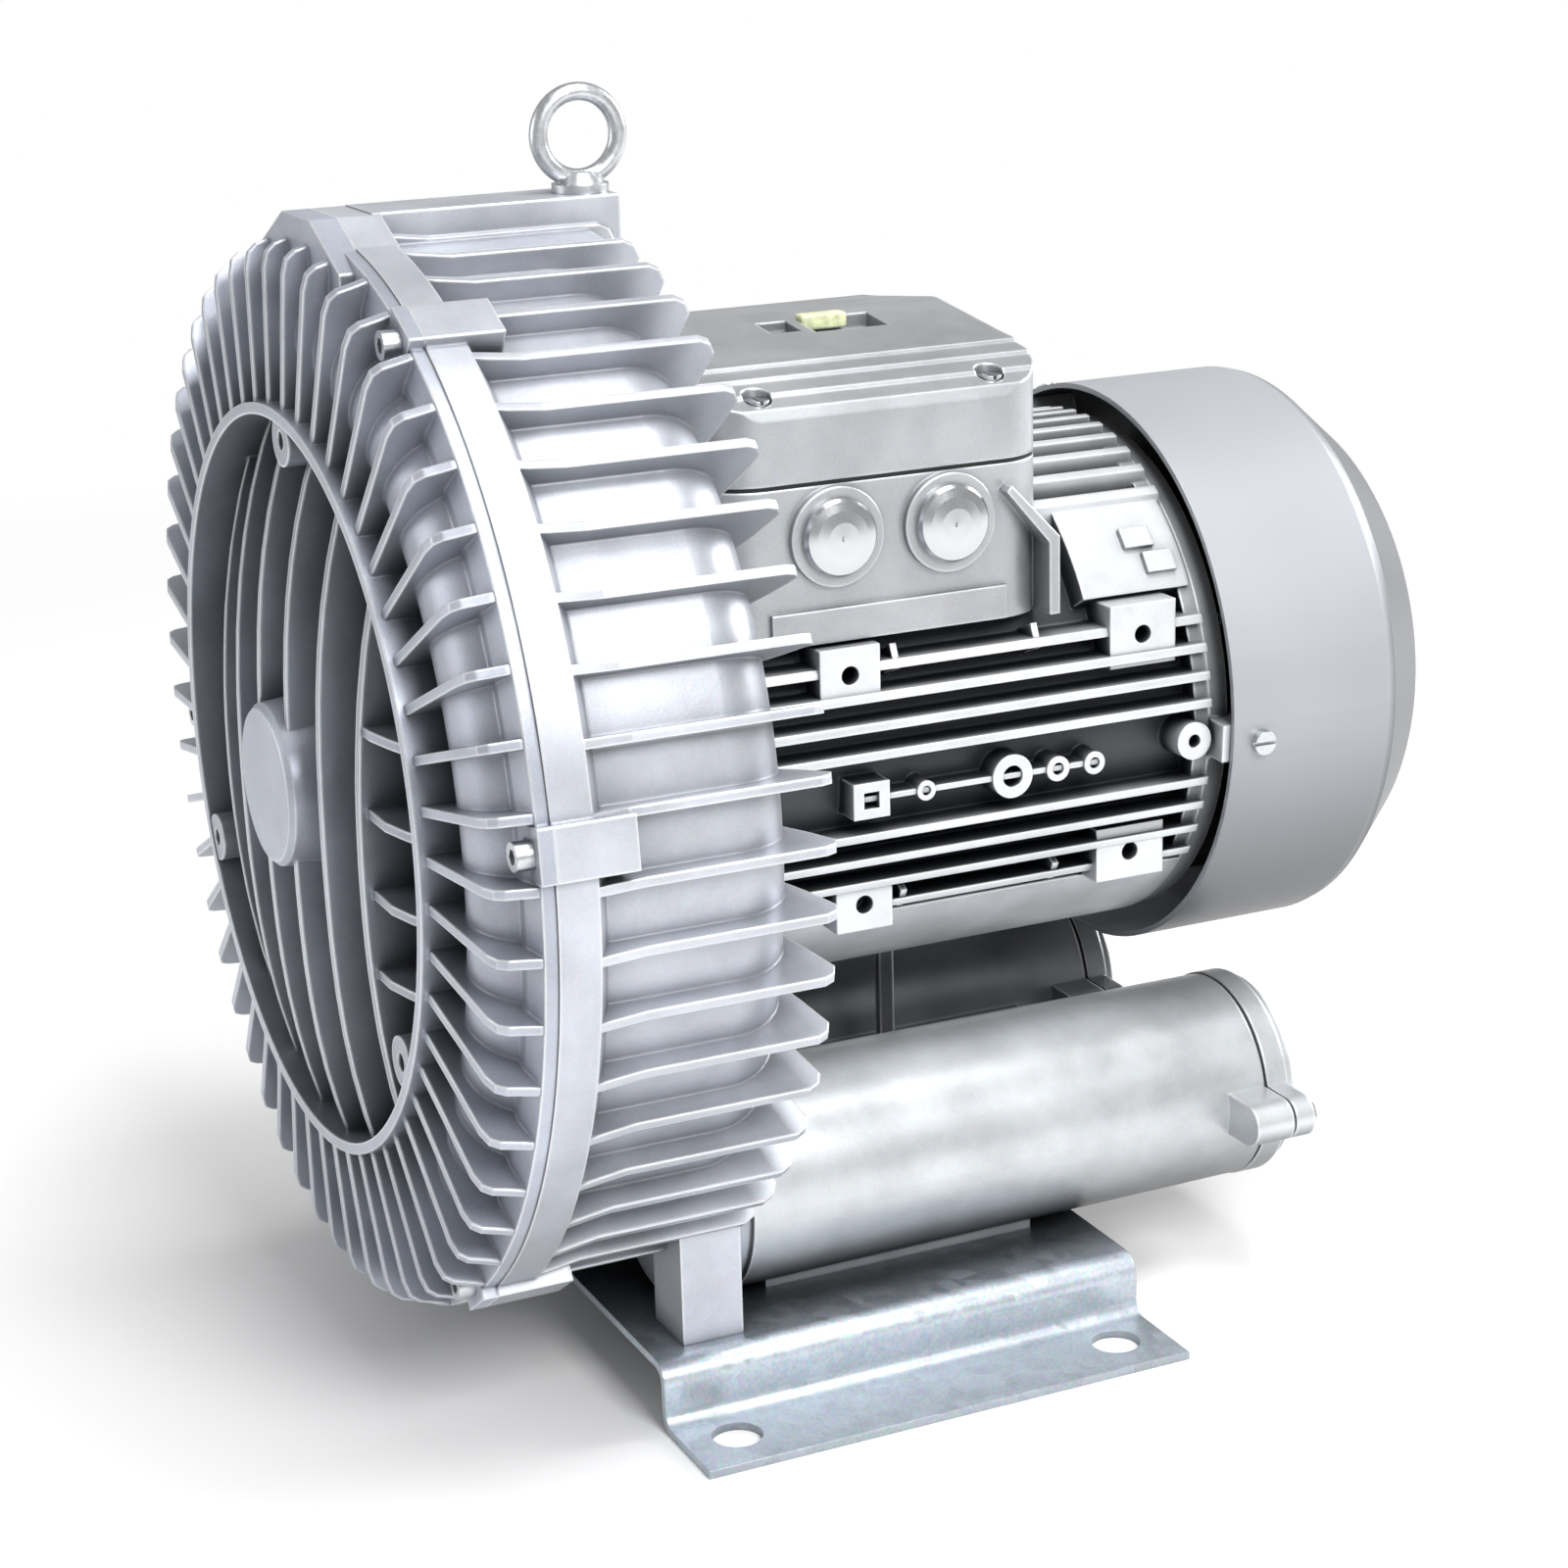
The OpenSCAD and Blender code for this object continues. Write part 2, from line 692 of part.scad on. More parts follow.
module foam_sleeve(side) {
    color("darkslategray") seat() translate([side * tube_x, 0, -tube_drop])
        ring(tube_r - tube_wall - tube_draft - 0.3, port_r + 0.9, tube_y + 6, tube_len - 12);
}

module mesh_tube(side) {
    color("gainsboro") seat() translate([side * tube_x, 0, -tube_drop])
        ring(port_r + 0.8, port_r, tube_y + 4, tube_len - 8);
}

module inlet_foam_sleeve() foam_sleeve(1);

module outlet_foam_sleeve() foam_sleeve(-1);

module inlet_mesh_tube() mesh_tube(1);

module outlet_mesh_tube() mesh_tube(-1);

// Cover with a threaded port at the end of a silencer tube
module port_cover(side) {
    color("silver") seat() translate([side * tube_x, 0, -tube_drop]) difference() {
        union() {
            rod(tube_r - 0.5, tube_end + 1, port_t - 4);
            rod(tube_r - 3, tube_end + 1, port_t);
            for (s = [-1, 1]) translate([s * ear_r, 0, 0]) rod(8, tube_end + 1, port_t - 5);
            translate([-ear_r, tube_end + 1, -8]) cube([2 * ear_r, port_t - 5, 16]);
        }
        rod(port_r, tube_end, port_t + 2);
        for (s = [-1, 1]) translate([s * ear_r, 0, 0]) rod(small_d / 2 + 0.3, tube_end, 30);
    }
}

module inlet_port_cover() port_cover(1);

module outlet_port_cover() port_cover(-1);

module port_gaskets() {
    color("dimgray") seat() both_sides() translate([tube_x, 0, -tube_drop])
        ring(tube_r - tube_draft - 0.2, port_r + 1, tube_end, 1);
}

module port_screws() {
    color("silver") seat() both_sides() translate([tube_x, tube_end + port_t - 4, -tube_drop])
        for (s = [-1, 1]) translate([s * ear_r, 0, 0]) rotate([180, 0, 0])
            hex_screw(small_d, port_t + 6);
}

// Section of the foot: raised middle, two bends on each side and a flange
module foot_section() {
    bend = foot_bend;
    side_x = foot_mid_w / 2;
    both_sides() {
        translate([0, -foot_t]) square([side_x - foot_t - bend, foot_t]);
        translate([side_x - foot_t - bend, -foot_t - bend]) intersection() {
            difference() {
                circle(r = foot_t + bend, $fn = 48);
                circle(r = bend, $fn = 48);
            }
            square(20);
        }
        translate([side_x - foot_t, -foot_h + foot_t + bend])
            square([foot_t, foot_h - 2 * foot_t - 2 * bend]);
        translate([side_x + bend, -foot_h + foot_t + bend]) intersection() {
            difference() {
                circle(r = foot_t + bend, $fn = 48);
                circle(r = bend, $fn = 48);
            }
            translate([-20, -20]) square(20);
        }
        translate([side_x + bend, -foot_h]) square([foot_w / 2 - side_x - bend, foot_t]);
    }
}

module foot_plate() {
    color("lightgray") seat() difference() {
        translate([0, 0, plate_z]) along_y(foot_y, foot_len) foot_section();
        for (sx = [-1, 1], sy = [-1, 1])
            translate([sx * hole_x / 2, foot_mid_y + sy * hole_y / 2, plate_z - foot_h - 1])
                cylinder(r = hole_d / 2, h = foot_h, $fn = 64);
        both_sides() {
            translate([lug_x, lug_y, plate_z - 10]) cylinder(r = screw_d / 2 + 0.4, h = 20, $fn = 48);
            translate([tube_x, rest_y, plate_z - 10])
                cylinder(r = small_d / 2 + 0.3, h = 20, $fn = 36);
        }
    }
}

module foot_bolts() {
    color("silver") seat() both_sides() {
        translate([lug_x, lug_y, plate_z - foot_t]) rotate([90, 0, 0]) hex_screw(screw_d, foot_t + 18);
        translate([tube_x, rest_y, plate_z - foot_t]) rotate([90, 0, 0])
            hex_screw(small_d, foot_t + 4);
    }
}

// Frame fins: level on both sides, upright on top, none along the bottom
module frame_fins(y, len) {
    side_n = floor(frame_fin_r * 0.54 / frame_fin_pitch);
    intersection() {
        union() {
            for (i = [-side_n : 4]) if (i < -1 || i > 0)
                translate([-frame_fin_r, y, i * frame_fin_pitch - 2 - frame_fin_t / 2])
                    cube([2 * frame_fin_r, len, frame_fin_t]);
            for (i = [-6 : 6])
                translate([i * frame_fin_pitch - frame_fin_t / 2, y, 0])
                    cube([frame_fin_t, len, frame_fin_r]);
        }
        ring(frame_fin_r, barrel_r - 2, y, len);
    }
}

// Cast pad on the frame's side, a little proud of the fins beside it
module side_pad(y, z, w, h) {
    reach = sqrt(frame_fin_r * frame_fin_r - z * z) + 1;
    translate([barrel_r - 24, y - w / 2, z - h / 2]) cube([reach - barrel_r + 24, w, h]);
}

// Strip along the middle of the frame's side: a thin web that joins small cast bosses
module side_strip() {
    bosses = [[75, 3.6], [109.5, 8], [128, 4.6], [143, 4.2]];
    reach = frame_fin_r - 2;
    translate([barrel_r - 4, frame_y + 50, strip_z - 1]) cube([reach - barrel_r + 3, 95, 2]);
    for (b = bosses) translate([barrel_r - 4, frame_y + b[0], strip_z]) rotate([0, 90, 0]) difference() {
        cylinder(r = b[1], h = reach - barrel_r + 4, $fn = 48);
        translate([0, 0, 6]) cylinder(r = b[1] * 0.5, h = 30, $fn = 36);
    }
    translate([barrel_r - 4, frame_y + 46, strip_z - 6.5]) difference() {
        cube([reach - barrel_r + 5, 14, 13]);
        translate([6, 4, 3.5]) cube([30, 6, 6]);
    }
}

module motor_frame() {
    pads = [[48, 36.5, 23, 20], [165, 36, 27, 23], [163, -47, 28, 20], [55, -50, 22, 19]];
    ties = [[66, 24, 9], [122, 24, 9], [70, -31, 8], [132, -31, 8]];
    color("gainsboro") seat() difference() {
        union() {
            ring(barrel_r, barrel_r - barrel_wall, frame_y, frame_len);
            ring(neck_r - 1, neck_in, frame_y, 14);
            ring(frame_fin_r - 4, barrel_r - 3, frame_end - 6, 6);
            frame_fins(frame_y + 9, frame_len - 10);
            turned_part(-90, 108) translate([barrel_r - 2, frame_y + 9])
                square([saddle_r - barrel_r + 2, frame_len - 10]);
            both_sides() {
                for (p = pads) side_pad(frame_y + p[0], p[1], p[2], p[3]);
                side_strip();
                for (t = ties) rotate([0, -t[1], 0])
                    translate([barrel_r - 2, frame_y + t[0], -t[2] / 2])
                        cube([frame_fin_r - barrel_r + 1, 2.4, t[2]]);
                for (s = [0, 1]) rotate([0, -36 - 6 * s, 0])
                    translate([barrel_r - 2, frame_end - 18 - 6 * s, -4])
                        cube([frame_fin_r - barrel_r + 2, 12, 8]);
                turned_part(42, 24) translate([barrel_r - 2, frame_end - 46])
                    square([frame_fin_r - barrel_r, 44]);
                translate([0, frame_end - 9, -5]) rotate([0, 90, 0])
                    cylinder(r = 7, h = frame_fin_r + 1, $fn = 36);
            }
        }
        rod(barrel_r - barrel_wall, frame_y - 1, frame_len + 2);
        difference() {
            translate([-box_w / 2 - 1, box_y - 3, box_low]) cube([box_w + 2, box_len + 5, 80]);
            rod(barrel_r, 0, 600);
        }
        both_sides() {
            for (p = pads) translate([barrel_r - 8, frame_y + p[0], p[1]]) rotate([0, 90, 0])
                cylinder(r = 3.4, h = 40, $fn = 36);
            translate([barrel_r + 2, frame_end - 9, -5]) rotate([0, 90, 0])
                cylinder(r = 2.5, h = 30, $fn = 36);
        }
        flange_joints() rod(screw_d / 2 + fit_gap, frame_y - 1, 13);
        around(4, 45) translate([barrel_r - barrel_wall / 2 + 1, 0, 0])
            rod(small_d / 2 + fit_gap, frame_end - 16, 20);
    }
}

module frame_bolts() {
    head_y = wall_y + screw_d + 1;
    color("silver") seat() flange_joints() difference() {
        union() {
            rod(screw_d * 0.75, head_y - screw_d, screw_d);
            rod(screw_d / 2, head_y - eps, frame_y + 11 - head_y);
        }
        translate([0, head_y - screw_d - 1, 0]) rotate([-90, 0, 0])
            cylinder(r = screw_d * 0.42, h = screw_d * 0.6 + 1, $fn = 6);
    }
}

module stator_core() {
    slots = 24;
    color("gray") seat() difference() {
        ring(neck_in - fit_gap, stator_bore / 2, core_y, core_len);
        around(slots) translate([stator_bore / 2 + 3, core_y - 1, -2.6]) cube([16, core_len + 2, 5.2]);
        around(slots) translate([stator_bore / 2 - 2, core_y - 1, -1.2]) cube([8, core_len + 2, 2.4]);
    }
}

// Wound coil heads at one end of the core
module coil_heads(y) {
    turned() translate([(stator_bore + 22) / 2, y + coil_len / 2])
        round_rect(16, coil_len, 6);
}

module winding_front() {
    color("chocolate") seat() coil_heads(core_y - coil_len);
}

module winding_rear() {
    color("chocolate") seat() coil_heads(core_end);
}

module rear_end_shield() {
    color("gainsboro") seat() difference() {
        union() {
            rod(frame_fin_r - 4, frame_end, shield_t);
            rod(neck_in - fit_gap, frame_end - 5, 6);
            rod(bore_r + 6, frame_end, rear_bearing_end + 1 - frame_end);
            around(8, 22.5) translate([bore_r + 4, frame_end + shield_t - 1, -2])
                cube([frame_fin_r - bore_r - 16, 7, 4]);
            around(3, -3.5) translate([frame_fin_r - 16, frame_end, -7])
                cube([cowl_r - cowl_t - 0.5 - frame_fin_r + 16, cowl_screw_y + 7 - frame_end, 14]);
        }
        rod(bore_r, rear_bearing_y, 60);
        rod(step_r + 1, frame_end - 10, 60);
        around(4, 45) translate([barrel_r - barrel_wall / 2 + 1, 0, 0])
            rod(small_d / 2 + 0.3, frame_end - 10, 30);
        around(3, -3.5) translate([frame_fin_r - 8, cowl_screw_y, 0]) rotate([0, 90, 0])
            cylinder(r = small_d / 2 + fit_gap, h = 30, $fn = 36);
        turned() polygon([[bore_r + 12, frame_end - 6], [neck_in - 8, frame_end - 6],
            [neck_in - 12, frame_end + 2], [bore_r + 14, frame_end + 2]]);
    }
}

module end_shield_screws() {
    color("silver") seat() around(4, 45) translate([barrel_r - barrel_wall / 2 + 1, 0, 0])
        translate([0, frame_end + shield_t, 0]) rotate([180, 0, 0]) slot_screw(small_d, shield_t + 13);
}

module rear_bearing_outer_ring() {
    color("gainsboro") seat() bearing_outer(rear_bearing_y);
}

// Places of the lid's screws
module lid_corners() {
    for (sx = [-1, 1], y = [box_y + lid_screw_y, box_end - lid_screw_y])
        translate([sx * lid_screw_x, y, 0]) children();
}

// Outline of the box seen from above
module box_plan(inset) {
    translate([0, (box_y + box_end) / 2])
        round_rect(box_w - 2 * inset, box_len - 2 * inset, box_corner - inset);
}

module terminal_box_base() {
    wall_x = box_w / 2 - box_wall;
    color("lightgray") seat() difference() {
        union() {
            translate([0, 0, box_low]) linear_extrude(box_joint - box_low) box_plan(0);
            for (s = [-1, 1]) translate([box_w / 2 - 6, entry_y + s * entry_pitch / 2, entry_z])
                rotate([0, 90, 0]) cylinder(r = entry_d / 2 + 5, h = 8.5, $fn = 64);
            translate([box_w / 2 - 16, 0, 0]) rotate([90, 0, 90]) linear_extrude(22)
                polygon([[box_end - 22, box_joint - 9], [box_end - 20, box_joint - 7],
                    [box_end - 1, box_joint - 27], [box_end - 1, box_low + 0.5],
                    [box_end - 5, box_low + 0.5], [box_end - 5, box_joint - 29]]);
            translate([wall_x, box_y + box_corner, box_low + 0.5])
                cube([box_wall + 2, box_len - 2 * box_corner, 12]);
        }
        rod(barrel_r + seat_gap, 0, 600);
        difference() {
            translate([0, 0, box_floor]) linear_extrude(40) box_plan(box_wall);
            lid_corners() translate([0, 0, box_floor - 1]) cylinder(r = 6.5, h = 60, $fn = 36);
        }
        both_sides() translate([0, 0, box_low + 22]) linear_extrude(60)
            translate([wall_x - 11, entry_y]) square([22, box_len - 56], center = true);
        for (s = [-1, 1]) translate([box_w / 2 - 15, entry_y + s * entry_pitch / 2, entry_z])
            rotate([0, 90, 0]) cylinder(r = entry_d / 2 + fit_gap, h = 40, $fn = 64);
        lid_corners() translate([0, 0, box_joint - 14])
            cylinder(r = small_d / 2 + fit_gap, h = 30, $fn = 36);
    }
}

module terminal_box_gasket() {
    color("dimgray") seat() difference() {
        translate([0, 0, box_joint]) linear_extrude(gasket_t) difference() {
            box_plan(0.5);
            box_plan(box_wall);
        }
        lid_corners() cylinder(r = small_d / 2 + 0.3, h = 300, $fn = 36);
    }
}

// Outline of the lid: sides, three steps along each shoulder, and a roof that slopes both ways
module lid_outline(inset) {
    half = box_w / 2 - inset;
    top = lid_top - inset;
    right = [[half, 0], [half, top - 21.5], [half - 1.5, top - 17.5], [half - 8, top - 14.8],
        [half - 8.6, top - 13.4], [half - 17, top - 11], [half - 17.6, top - 9.6],
        [half - 27, top - 8.2], [half - 27.6, top - 6.8], [half - 40, top - 5.6], [2, top]];
    left = [for (i = [len(right) - 1 : -1 : 0]) [-right[i][0], right[i][1]]];
    polygon(concat(right, left));
}

module terminal_box_lid() {
    lid_z = box_joint + gasket_t;
    color("lightgray") seat() difference() {
        intersection() {
            translate([0, 0, lid_z]) linear_extrude(100) box_plan(0);
            along_y(box_y, box_len) lid_outline(0);
        }
        difference() {
            intersection() {
                translate([0, 0, lid_z - 1]) linear_extrude(100) box_plan(box_wall);
                along_y(box_y, box_len) lid_outline(box_wall);
            }
            lid_corners() translate([0, 0, lid_z]) cylinder(r = 7, h = 60, $fn = 36);
            translate([7, entry_y - 19, lid_top - 10]) cube([25, 53, 30]);
        }
        lid_corners() {
            cylinder(r = small_d / 2 + 0.3, h = 300, $fn = 36);
            translate([0, 0, lid_screw_z]) cylinder(r = small_d + 0.2, h = 100, $fn = 36);
        }
        translate([11, entry_y + 1, lid_top - 6.5]) cube([18, 29, 20]);
        translate([12, entry_y - 15, lid_top - 5]) cube([14, 12, 20]);
    }
}

module lid_screws() {
    color("silver") seat() lid_corners() translate([0, 0, lid_screw_z]) rotate([-90, 0, 0])
        slot_screw(small_d, lid_screw_z - box_joint + 12);
}

// Places of the six terminals
module terminals() {
    for (sx = [-1, 0, 1], sy = [-1, 1]) translate([sx * stud_x, sy * stud_y / 2, 0]) children();
}

module terminal_board() {
    color("saddlebrown") seat() translate([0, entry_y, box_floor]) difference() {
        union() {
            linear_extrude(6) round_rect(board_w, board_len, 4);
            translate([1 - board_w / 2, -3, 0.5]) cube([board_w - 2, 6, 11.5]);
        }
        terminals() translate([0, 0, -1]) cylinder(r = small_d / 2 + fit_gap, h = stud_len, $fn = 36);
    }
}

module terminal_studs() {
    color("gold") seat() translate([0, entry_y, box_floor]) terminals() {
        cylinder(r = small_d / 2, h = stud_len, $fn = 36);
        translate([0, 0, 8]) cylinder(r = small_d, h = 4, $fn = 6);
    }
}

module terminal_links() {
    color("gold") seat() for (s = [-1, 1])
        translate([s * stud_x / 2, entry_y + s * stud_y / 2, box_floor + 6]) difference() {
            linear_extrude(2) round_rect(stud_x + 12, 10, 4);
            for (t = [-1, 1]) translate([t * stud_x / 2, 0, -1])
                cylinder(r = small_d / 2 + 0.2, h = 6, $fn = 36);
        }
}

// Threaded plug that closes a cable entry, with a low domed head
module blanking_plug(y) {
    head = entry_d / 2 + 1.2;
    color("gainsboro") seat() translate([box_w / 2, y, entry_z]) rotate([0, 90, 0])
        rotate_extrude($fn = 72) polygon([[head - 4.2, -5], [head - 1.2, -5], [head - 1.2, 2.5],
            [head, 2.5], [head, 4.6], [head - 1, 5.8], [head - 4, 6.7], [head - 8, 7.2], [0, 7.4],
            [0, 1], [head - 4.2, 1]]);
}

module blanking_plug_front() blanking_plug(entry_y - entry_pitch / 2);

module blanking_plug_rear() blanking_plug(entry_y + entry_pitch / 2);

// Grille in the end of the cowl: rings of slots parted by spokes
module grille() {
    difference() {
        union() for (k = [0 : 4]) difference() {
            circle(r = cone_r - 14 - k * 12, $fn = 96);
            circle(r = cone_r - 21 - k * 12, $fn = 96);
        }
        for (a = [0 : 45 : 135]) rotate(a) square([2 * cone_r, 6], center = true);
    }
}

module fan_cowl() {
    color("gainsboro") seat() difference() {
        turned() difference() {
            polygon([[0, cowl_y], [cowl_r, cowl_y], [cowl_r, cowl_end - cone_len - 3],
                [cowl_r - 1, cowl_end - cone_len + 1], [cone_r + 2, cowl_end - 2.5],
                [cone_r - 1, cowl_end], [0, cowl_end]]);
            polygon([[0, cowl_y - 1], [cowl_r - cowl_t, cowl_y - 1],
                [cowl_r - cowl_t, cowl_end - cone_len - 3],
                [cowl_r - cowl_t - 1, cowl_end - cone_len + 1],
                [cone_r + 1 - cowl_t, cowl_end - cowl_t - 1],
                [cone_r - 1 - cowl_t, cowl_end - cowl_t], [0, cowl_end - cowl_t]]);
        }
        along_y(cowl_end - cowl_t - 1, cowl_t + 2) grille();
        around(3, -3.5) translate([cowl_r - 20, cowl_screw_y, 0]) rotate([0, 90, 0])
            cylinder(r = small_d / 2 + 0.2, h = 40, $fn = 36);
    }
}

module cowl_screws() {
    color("silver") seat() around(3, -3.5) translate([cowl_r, cowl_screw_y, 0]) rotate([0, 0, 90])
        slot_screw(small_d, 12);
}

module shaft() {
    key_y = (imp_y + imp_end) / 2;
    color("silver") seat() difference() {
        turned() polygon([[0, front_bearing_y - 0.5], [journal_r - 1, front_bearing_y - 0.5],
            [journal_r, front_bearing_y + 0.5], [journal_r, imp_end - 4], [step_r, imp_end - 4],
            [step_r, core_y - 10], [shaft_r, core_y - 10], [shaft_r, core_end + 10],
            [step_r, core_end + 10], [step_r, rear_bearing_y], [journal_r, rear_bearing_y],
            [journal_r, rear_bearing_end + 4], [journal_r - 1.5, rear_bearing_end + 4],
            [journal_r - 1.5, shaft_end - 1], [journal_r - 2.5, shaft_end], [0, shaft_end]]);
        translate([-4, key_y - 16, journal_r - 4]) cube([8, 32, 10]);
        ring(40, journal_r - 3, fan_y + fan_w, 1.3);
    }
}

module rotor_core() {
    color("gray") seat() ring(stator_bore / 2 - air_gap, shaft_r + fit_gap, core_y, core_len);
}

module rotor_end_rings() {
    color("gainsboro") seat() for (side = [0, 1]) {
        y = side == 0 ? core_y - 8 : core_end;
        ring(stator_bore / 2 - 4, shaft_r + 8, y, 8);
        around(10) translate([stator_bore / 2 - 14, side == 0 ? y - 8 : y + 7, -1.5]) cube([9, 9, 3]);
    }
}

module impeller() {
    mid = (imp_y + imp_end) / 2;
    color("gainsboro") seat() difference() {
        union() {
            turned() difference() {
                union() {
                    translate([blade_in - 6, imp_y]) square([blade_out - blade_in + 6, imp_end - imp_y]);
                    translate([impeller_hub_r - 4, mid - 4]) square([blade_in - impeller_hub_r, 8]);
                    translate([0, imp_y + 6]) square([impeller_hub_r, imp_end - imp_y - 10]);
                }
                for (y = [imp_y, imp_end])
                    translate([(blade_in + blade_out) / 2, y]) circle(r = channel_r - 2.5, $fn = 72);
            }
            around(blade_n) translate([blade_in + 1, imp_y + land, -blade_t / 2])
                cube([blade_out - blade_in - 2, imp_end - imp_y - 2 * land, blade_t]);
            around(6) translate([impeller_hub_r - 2, mid - 14, -3])
                cube([blade_in - impeller_hub_r - 1, 28, 6]);
        }
        rod(journal_r + fit_gap, 0, 100);
        translate([-4 - fit_gap, 0, 0]) cube([8 + 2 * fit_gap, 100, journal_r + 3.5]);
        around(6, 30) translate([(impeller_hub_r + blade_in) / 2, 0, 0]) rod(12, 0, 100);
    }
}

module impeller_key() {
    key_y = (imp_y + imp_end) / 2;
    color("silver") seat() translate([-4 + fit_gap, key_y - 16 + fit_gap, journal_r - 4 + fit_gap])
        cube([8 - 2 * fit_gap, 32 - 2 * fit_gap, 7]);
}

module spacer_sleeve() {
    from = front_bearing_y + bearing_w;
    color("silver") seat() ring(journal_r + 4, journal_r + fit_gap, from, imp_y + 6 - from);
}

module shaft_circlips() {
    color("dimgray") seat() {
        difference() {
            ring(journal_r + 3, journal_r - 2.9, fan_y + fan_w + 0.1, 1.1);
            translate([0, fan_y, -3]) cube([40, fan_w + 10, 6]);
        }
    }
}

module front_bearing_inner_ring() {
    color("gainsboro") seat() bearing_inner(front_bearing_y);
}

module rear_bearing_inner_ring() {
    color("gainsboro") seat() bearing_inner(rear_bearing_y);
}

module cooling_fan() {
    color("dimgray") seat() difference() {
        union() {
            rod(journal_r + 8, fan_y, fan_w);
            rod(fan_r - 10, fan_y, 3);
            around(fan_blade_n) translate([journal_r + 4, fan_y + 1, -1.5])
                cube([fan_r - journal_r - 4, fan_w - 3, 3]);
        }
        rod(journal_r - 1.5 + fit_gap, 0, 600);
    }
}

module front_bearing_cage() {
    color("peru") seat() bearing_cage(front_bearing_y);
}

module front_bearing_balls() {
    color("silver") seat() bearing_balls(front_bearing_y);
}

module rear_bearing_cage() {
    color("peru") seat() bearing_cage(rear_bearing_y);
}

module rear_bearing_balls() {
    color("silver") seat() bearing_balls(rear_bearing_y);
}

front_cover();
cover_seal();
rear_housing();
housing_bolts();
eye_bolt();
shaft_seal();
front_bearing_outer_ring();
wave_spring();
silencer_housing();
silencer_screws();
inlet_foam_sleeve();
outlet_foam_sleeve();
inlet_mesh_tube();
outlet_mesh_tube();
inlet_port_cover();
outlet_port_cover();
port_gaskets();
port_screws();
foot_plate();
foot_bolts();
motor_frame();
frame_bolts();
stator_core();
winding_front();
winding_rear();
rear_end_shield();
end_shield_screws();
rear_bearing_outer_ring();
terminal_box_base();
terminal_box_gasket();
terminal_box_lid();
lid_screws();
terminal_board();
terminal_studs();
terminal_links();
blanking_plug_front();
blanking_plug_rear();
fan_cowl();
cowl_screws();
shaft();
rotor_core();
rotor_end_rings();
impeller();
impeller_key();
spacer_sleeve();
shaft_circlips();
front_bearing_inner_ring();
rear_bearing_inner_ring();
cooling_fan();
front_bearing_cage();
front_bearing_balls();
rear_bearing_cage();
rear_bearing_balls();
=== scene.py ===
"""Looks of a side-channel air blower: silver castings, galvanised foot, zinc fasteners, studio stage."""

import math

import bpy
import numpy as np
from mathutils import Matrix, Vector


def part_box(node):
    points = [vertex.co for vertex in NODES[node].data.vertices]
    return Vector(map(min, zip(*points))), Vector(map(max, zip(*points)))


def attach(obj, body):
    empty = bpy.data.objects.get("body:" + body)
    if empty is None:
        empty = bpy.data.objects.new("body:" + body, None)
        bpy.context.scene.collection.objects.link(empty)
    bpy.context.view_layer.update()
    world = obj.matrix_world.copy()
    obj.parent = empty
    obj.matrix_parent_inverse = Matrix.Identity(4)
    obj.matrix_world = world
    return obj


bl_info = {
    "name": "Side-channel blower",
    "version": (1, 0, 0),
    "blender": (4, 5, 0),
    "location": "3D View > Sidebar > Blower",
    "description": "Finishes and small parts of a side-channel air blower, with its studio stage",
    "category": "Object",
}

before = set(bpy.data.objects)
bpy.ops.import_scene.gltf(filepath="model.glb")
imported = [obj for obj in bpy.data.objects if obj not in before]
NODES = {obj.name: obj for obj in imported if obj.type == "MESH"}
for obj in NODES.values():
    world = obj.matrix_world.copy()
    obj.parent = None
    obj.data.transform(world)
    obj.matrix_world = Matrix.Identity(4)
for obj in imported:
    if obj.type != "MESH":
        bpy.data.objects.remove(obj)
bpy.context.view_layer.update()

MM = 0.001

# Height of the shaft, the plane where cover and housing meet, and the motor frame's reach above
# the shaft
SHAFT_Z = sum(corner.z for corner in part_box("fan_cowl")) / 2
JOINT_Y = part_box("rear_housing")[0].y
FRAME_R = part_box("motor_frame")[1].z - SHAFT_Z
# The cover's round recess: its radius, its front, and the level of its floor
RECESS_R = 129 * MM
RECESS_FRONT = JOINT_Y - 30 * MM
RECESS_FLOOR = JOINT_Y - 8 * MM
# Radii between which the gaps of the motor's fins take painted shade
FIN_TIP_R = FRAME_R - 2 * MM
FIN_ROOT_R = FRAME_R - 9 * MM
# Distances from the middle plane between which the silencer's deck turns into its tubes, and its painted
# shade fades out
DECK_X = 42 * MM
TUBE_X = 56 * MM
# Where the cowl's side turns into its cone, and where the cone's painted shade starts and is full
CONE_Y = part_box("fan_cowl")[1].y - 26 * MM
CONE_START = CONE_Y - 2 * MM
CONE_FULL = CONE_Y + 3 * MM
# Where the lid's pocket starts, from the lid's front side
POCKET_Y = 68 * MM
# Reach of the lid's insert from the middle plane, from the pocket's start and from the lid's roof
INSERT_X = (8.5 * MM, 15.5 * MM)
INSERT_Y = (1 * MM, 19 * MM)
INSERT_Z = (-5 * MM, 0.6 * MM)
INSERT_EDGE = 1.2 * MM

# Rays per point for openness and for rounded edges
OPEN_RAYS = 8
CAST_EDGE_RAYS = 6
EDGE_RAYS = 4
# A gap takes its full painted shade below this part of the openness from which a face stays unshaded
GAP_FULL = 0.18
# Cosine between a face and its rounded edge where the painted edge highlight starts, and where it is
# full
HIGHLIGHT_START = 0.995
HIGHLIGHT_FULL = 0.86
HIGHLIGHT_MOST = 0.8
# Brightness of the painted edge highlight, against the coat's own colour
HIGHLIGHT_BRIGHT = 2.2
# How strongly grit shows in a casting's tone, and grain in the galvanised sheet's
GRIT_TONE = 0.18
GRAIN_TONE = 0.55
# How far an edge's openness is felt, and the openness of inner corners and of outer edges
CORNER_REACH = 3 * MM
CORNER_INNER = 0.72
CORNER_OUTER = 0.95
